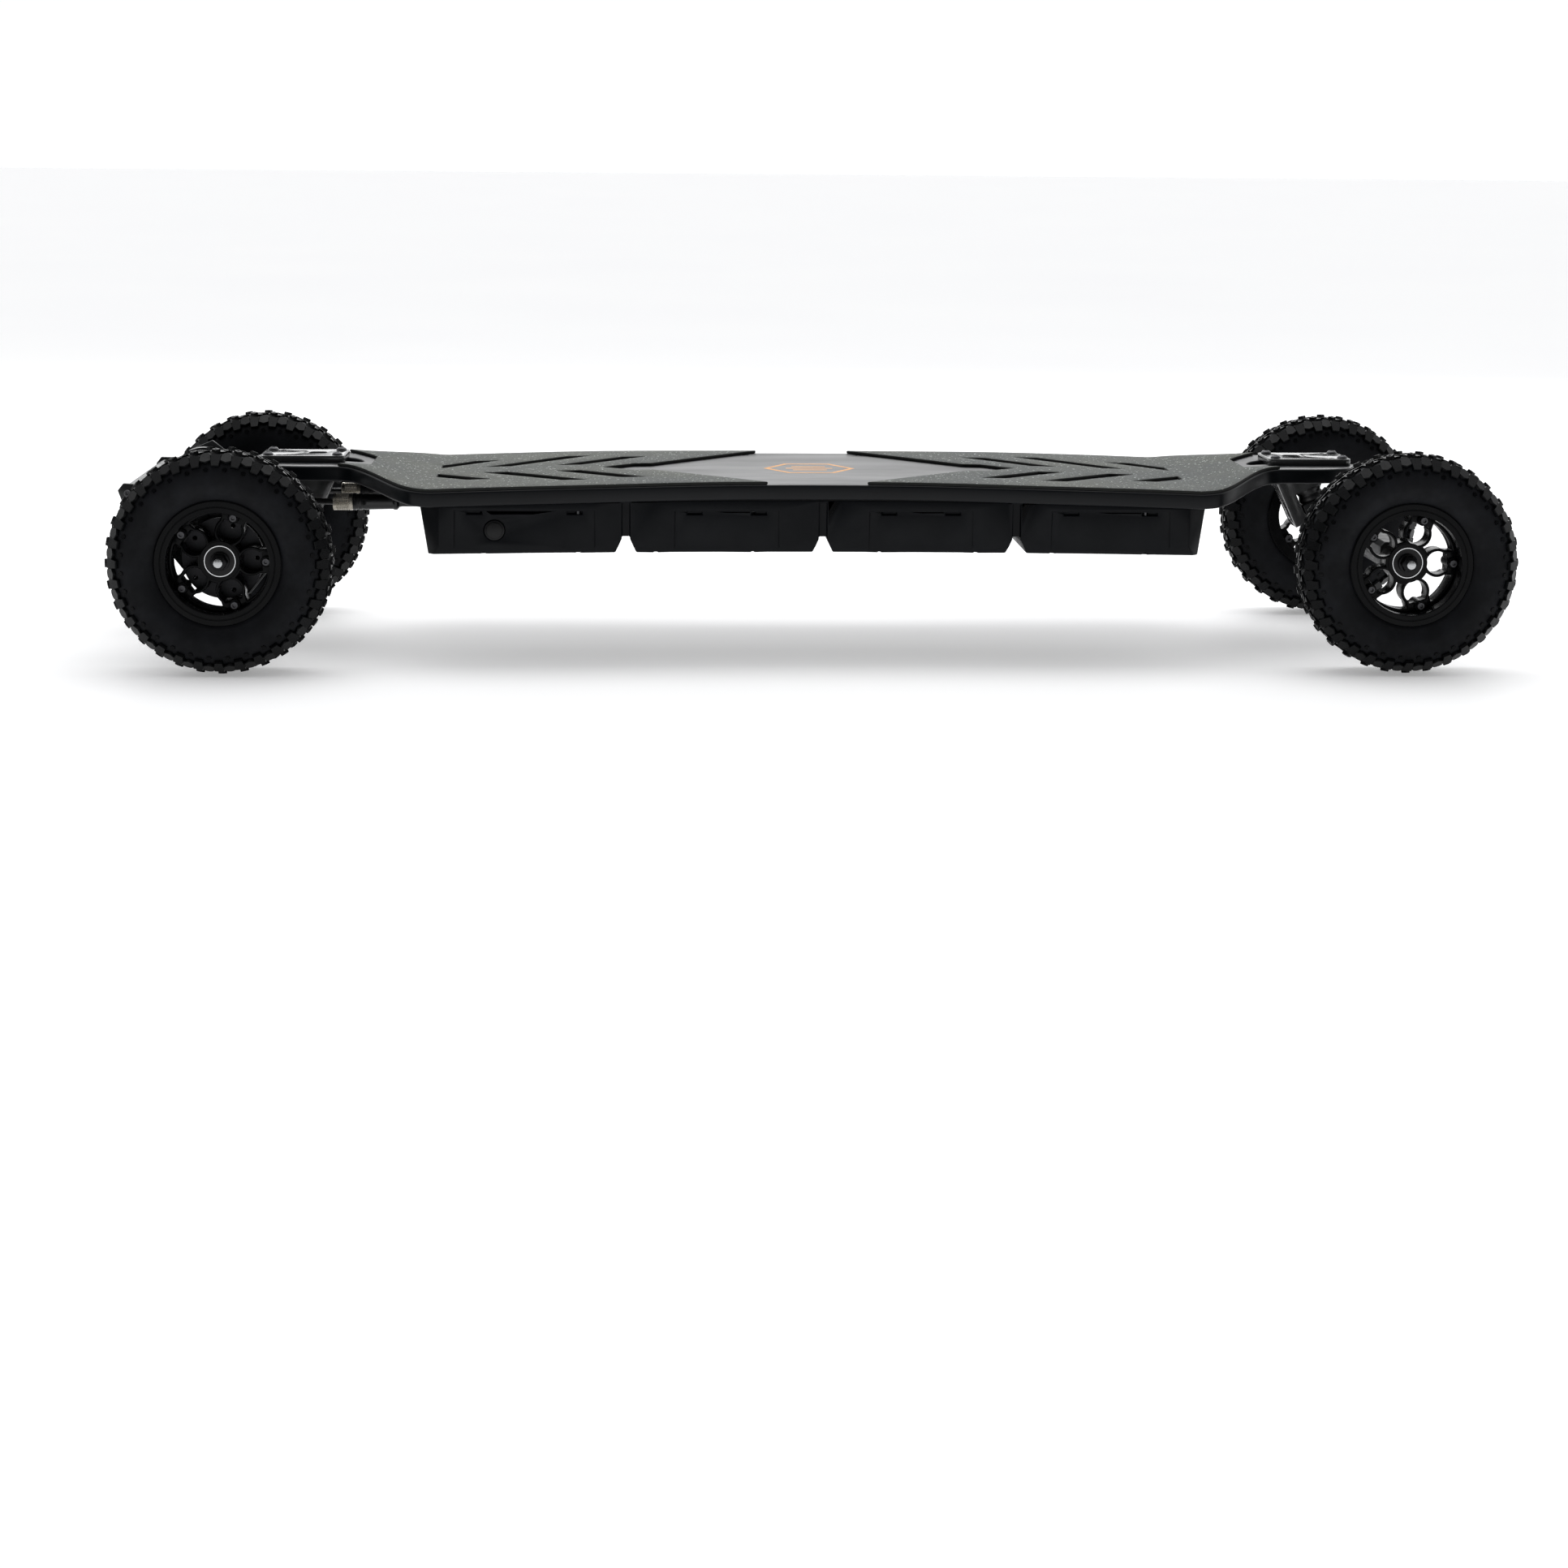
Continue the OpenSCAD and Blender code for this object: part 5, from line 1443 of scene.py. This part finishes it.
# ---- drive ------------------------------------------------------------------------------------
@dataclass
class Drive:
    """Motors, gear cases and guard on the rear hanger."""

    frame: Frame
    scatter: NodeTree
    shaft: float = 4.4
    pinion: float = 10.5
    pinion_start: float = 20.0
    end_plate: float = 27.0
    core_reach: float = 84.0

    def build_motor(self, side: Side) -> None:
        """A gloss can with a turned end plate and a bright shaft."""
        low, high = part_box(f"{side.word}_rotor")
        axis_x, axis_z = (low.x + high.x) / 2, (low.z + high.z) / 2
        free_end = min(abs(low.y), abs(high.y)) + 3 * MM
        rotor = self.frame.refine(f"{side.word}_rotor", 0.5, Paint.CAN)

        def reach(p: Vector) -> float:
            return math.hypot(p.x - axis_x, p.z - axis_z)

        plate, geared = free_end + 0.2 * MM, free_end + self.pinion_start * MM
        repaint(rotor, Paint.CAN_END, lambda p: abs(p.y) < plate and reach(p) < self.end_plate * MM)
        repaint(rotor, Paint.STEEL, lambda p: reach(p) < self.pinion * MM and abs(p.y) > geared)
        repaint(rotor, Paint.BRIGHT, lambda p: reach(p) < self.shaft * MM)
        self.frame.adopt(rotor, f"{side.word}_rotor")

    def build_cores(self) -> None:
        """Fixed motor bases with copper cores."""
        cores = self.frame.refine("motor_stators", 0.5, Paint.TRUCK)
        repaint(cores, Paint.CORE, lambda p: abs(p.y) < self.core_reach * MM)
        self.frame.adopt(cores, "motor_stators")

    def build_screws(self) -> None:
        """Cap screws on the covers and the guard, one on each island of the CAD group."""
        form = self.frame.copy("drive_screws")
        spots: dict[Side, list[Spot]] = {side: [] for side in Side}
        for island in islands(form):
            centre = middle(island)
            side = Side.LEFT if centre.y > 0 else Side.RIGHT
            face = max(v.co.y * side.value for v in island) * side.value
            spots[side].append((centre.x / MM, face / MM, centre.z / MM))
        form.free()
        head = [(0.01, -6), (1.5, -6), (1.5, -3), (3.1, -3), (3.1, -0.5), (2.7, 0), (1.6, 0), (1.4, -1.6),
                (0.01, -1.6)]
        parts = []
        for side in Side:
            template = solid("screw_template", *lathe(head, 16), Paint.DARK_STEEL)
            outward(template)
            screws = solid("screws", spots[side], [], Paint.DARK_STEEL)
            self.scatter.apply(screws, Template=template, Turn=(-math.pi / 2 * side.value, 0, 0),
                               Material=Paint.DARK_STEEL.material())
            bpy.data.objects.remove(template)
            parts.append(screws)
        self.frame.adopt(joined("drive_cap_screws", parts), "drive_screws")

    def build(self) -> None:
        """Makes the drive."""
        frame = self.frame
        for side in Side:
            self.build_motor(side)
            frame.dress(Paint.GEAR, f"{side.word}_idler")
            frame.dress(Paint.GEAR, f"{side.word}_wheel_gear")
        self.build_cores()
        frame.ease(1.2, Paint.DRIVE, "gear_cases")
        frame.ease(0.8, Paint.TRUCK, "gear_covers")
        frame.ease(0.6, Paint.DRIVE, "motor_plates")
        frame.ease(0.6, Paint.TRUCK, "rear_guard")
        self.build_screws()


# ---- studio -----------------------------------------------------------------------------------
@dataclass
class Studio:
    """A pale floor, soft light from above and the camera."""

    eye: Spot = (-169.1, -2698.2, 477.2)
    look: Spot = (7.99, -3.07, 0.11)
    sensor: float = 36.0
    focal: float = 66.3168
    drop: float = 0.157764
    ceiling: float = 0.55
    room: float = 0.1
    glow: float = 0.3

    def build_camera(self) -> None:
        """The camera, turned from looking along +Y by three small angles."""
        tilt, pan, roll = (math.radians(a) for a in self.look)
        view = Matrix.Rotation(roll, 3, "Z") @ Matrix.Rotation(pan, 3, "Y") @ Matrix.Rotation(tilt, 3, "X")
        level = Matrix(((1, 0, 0), (0, 0, -1), (0, 1, 0)))
        right, down, ahead = view @ level
        lens = bpy.data.cameras.new("camera")
        lens.sensor_width = self.sensor
        lens.lens = self.focal
        lens.shift_y = -self.drop
        lens.clip_end = 100
        camera = linked("camera", lens)
        turn = Matrix((Vector(right), -Vector(down), -Vector(ahead))).transposed()
        camera.matrix_world = Matrix.Translation(Vector(self.eye) * MM) @ turn.to_4x4()
        bpy.context.scene.camera = camera

    def build_floor(self) -> None:
        """A wide pale floor."""
        shader = Shader("studio floor")
        shader.set(Roughness=0.6, Specular_IOR_Level=0.2)
        shader.set(Emission_Color=(1, 1, 1, 1), Emission_Strength=self.glow)
        clouds = shader.ramp(shader.noise(900, 2), [(0.3, 0.84, 0.84, 0.85), (0.7, 0.87, 0.87, 0.87)])
        shader.join(clouds, "Base Color")
        half = 30.0
        corners = [(-half, -half, 0), (half, -half, 0), (half, half, 0), (-half, half, 0)]
        mesh = bpy.data.meshes.new("floor")
        mesh.from_pydata(corners, [], [(0, 1, 2, 3)])
        mesh.materials.append(shader.material)
        linked("floor", mesh)

    def build_surroundings(self) -> None:
        """A white backdrop and ceiling, with a dim room behind the camera."""
        world = bpy.data.worlds.new("studio")
        world.use_nodes = True
        tree = world.node_tree
        heading = tree.nodes.new("ShaderNodeTexCoord").outputs["Generated"]
        slope = tree.nodes.new("ShaderNodeVectorMath")
        slope.operation = "DOT_PRODUCT"
        slope.inputs[1].default_value = (0, 1, self.ceiling)
        tree.links.new(heading, slope.inputs[0])
        fade = tree.nodes.new("ShaderNodeMapRange")
        fade.interpolation_type = "SMOOTHSTEP"
        for name, value in (("From Min", -0.35), ("From Max", 0.55), ("To Min", self.room), ("To Max", 1.02)):
            fade.inputs[name].default_value = value
        tree.links.new(slope.outputs["Value"], fade.inputs["Value"])
        tree.links.new(fade.outputs["Result"], tree.nodes["Background"].inputs["Strength"])
        tree.nodes["Background"].inputs["Color"].default_value = (0.985, 0.99, 1, 1)
        bpy.context.scene.world = world

    def build_light(self, name: str, spot: Spot, aim: Spot, size: Flat, power: float) -> None:
        """One soft box.

        Args:
            name: its name.
            spot: where it stands, in metres.
            aim: the point that it faces.
            size: its width and height in metres.
            power: its power in watts.
        """
        light = bpy.data.lights.new(name, "AREA")
        light.shape = "RECTANGLE"
        light.size, light.size_y = size
        light.energy = power
        lamp = linked(name, light)
        lamp.location = spot
        lamp.rotation_euler = (Vector(aim) - Vector(spot)).to_track_quat("-Z", "Y").to_euler()

    def build(self) -> None:
        """Sets up the whole studio."""
        self.build_camera()
        self.build_floor()
        self.build_surroundings()
        self.build_light("overhead soft box", (0.0, 0.5, 2.4), (0, 0, 0.1), (2.6, 1.4), 22)
        self.build_light("back soft box", (0.2, 2.6, 1.3), (0, 0, 0.15), (3.0, 1.0), 18)
        bpy.context.scene.view_settings.view_transform = "Standard"


def main() -> None:
    """Builds the skateboard's looks piece by piece."""
    logging.basicConfig(level=logging.INFO, format="%(name)s: %(message)s")
    frame = Frame()
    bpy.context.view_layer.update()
    ring, scatter, tubes = ring_tree(), scatter_tree(), tube_tree()
    Studio().build()
    Cables(frame, tubes, ring).build()
    Deck(frame).build()
    Tray(frame).build()
    for end in End:
        Truck(frame, end).build()
        for side in Side:
            Wheel(frame, ring, scatter, end, side).build()
    frame.ease(0.3, Paint.DARK_STEEL, "truck_bolts")
    frame.ease(0.4, Paint.DARK_STEEL, "inner_kingpins")
    Drive(frame, scatter).build()


if __name__ == "__main__":
    main()
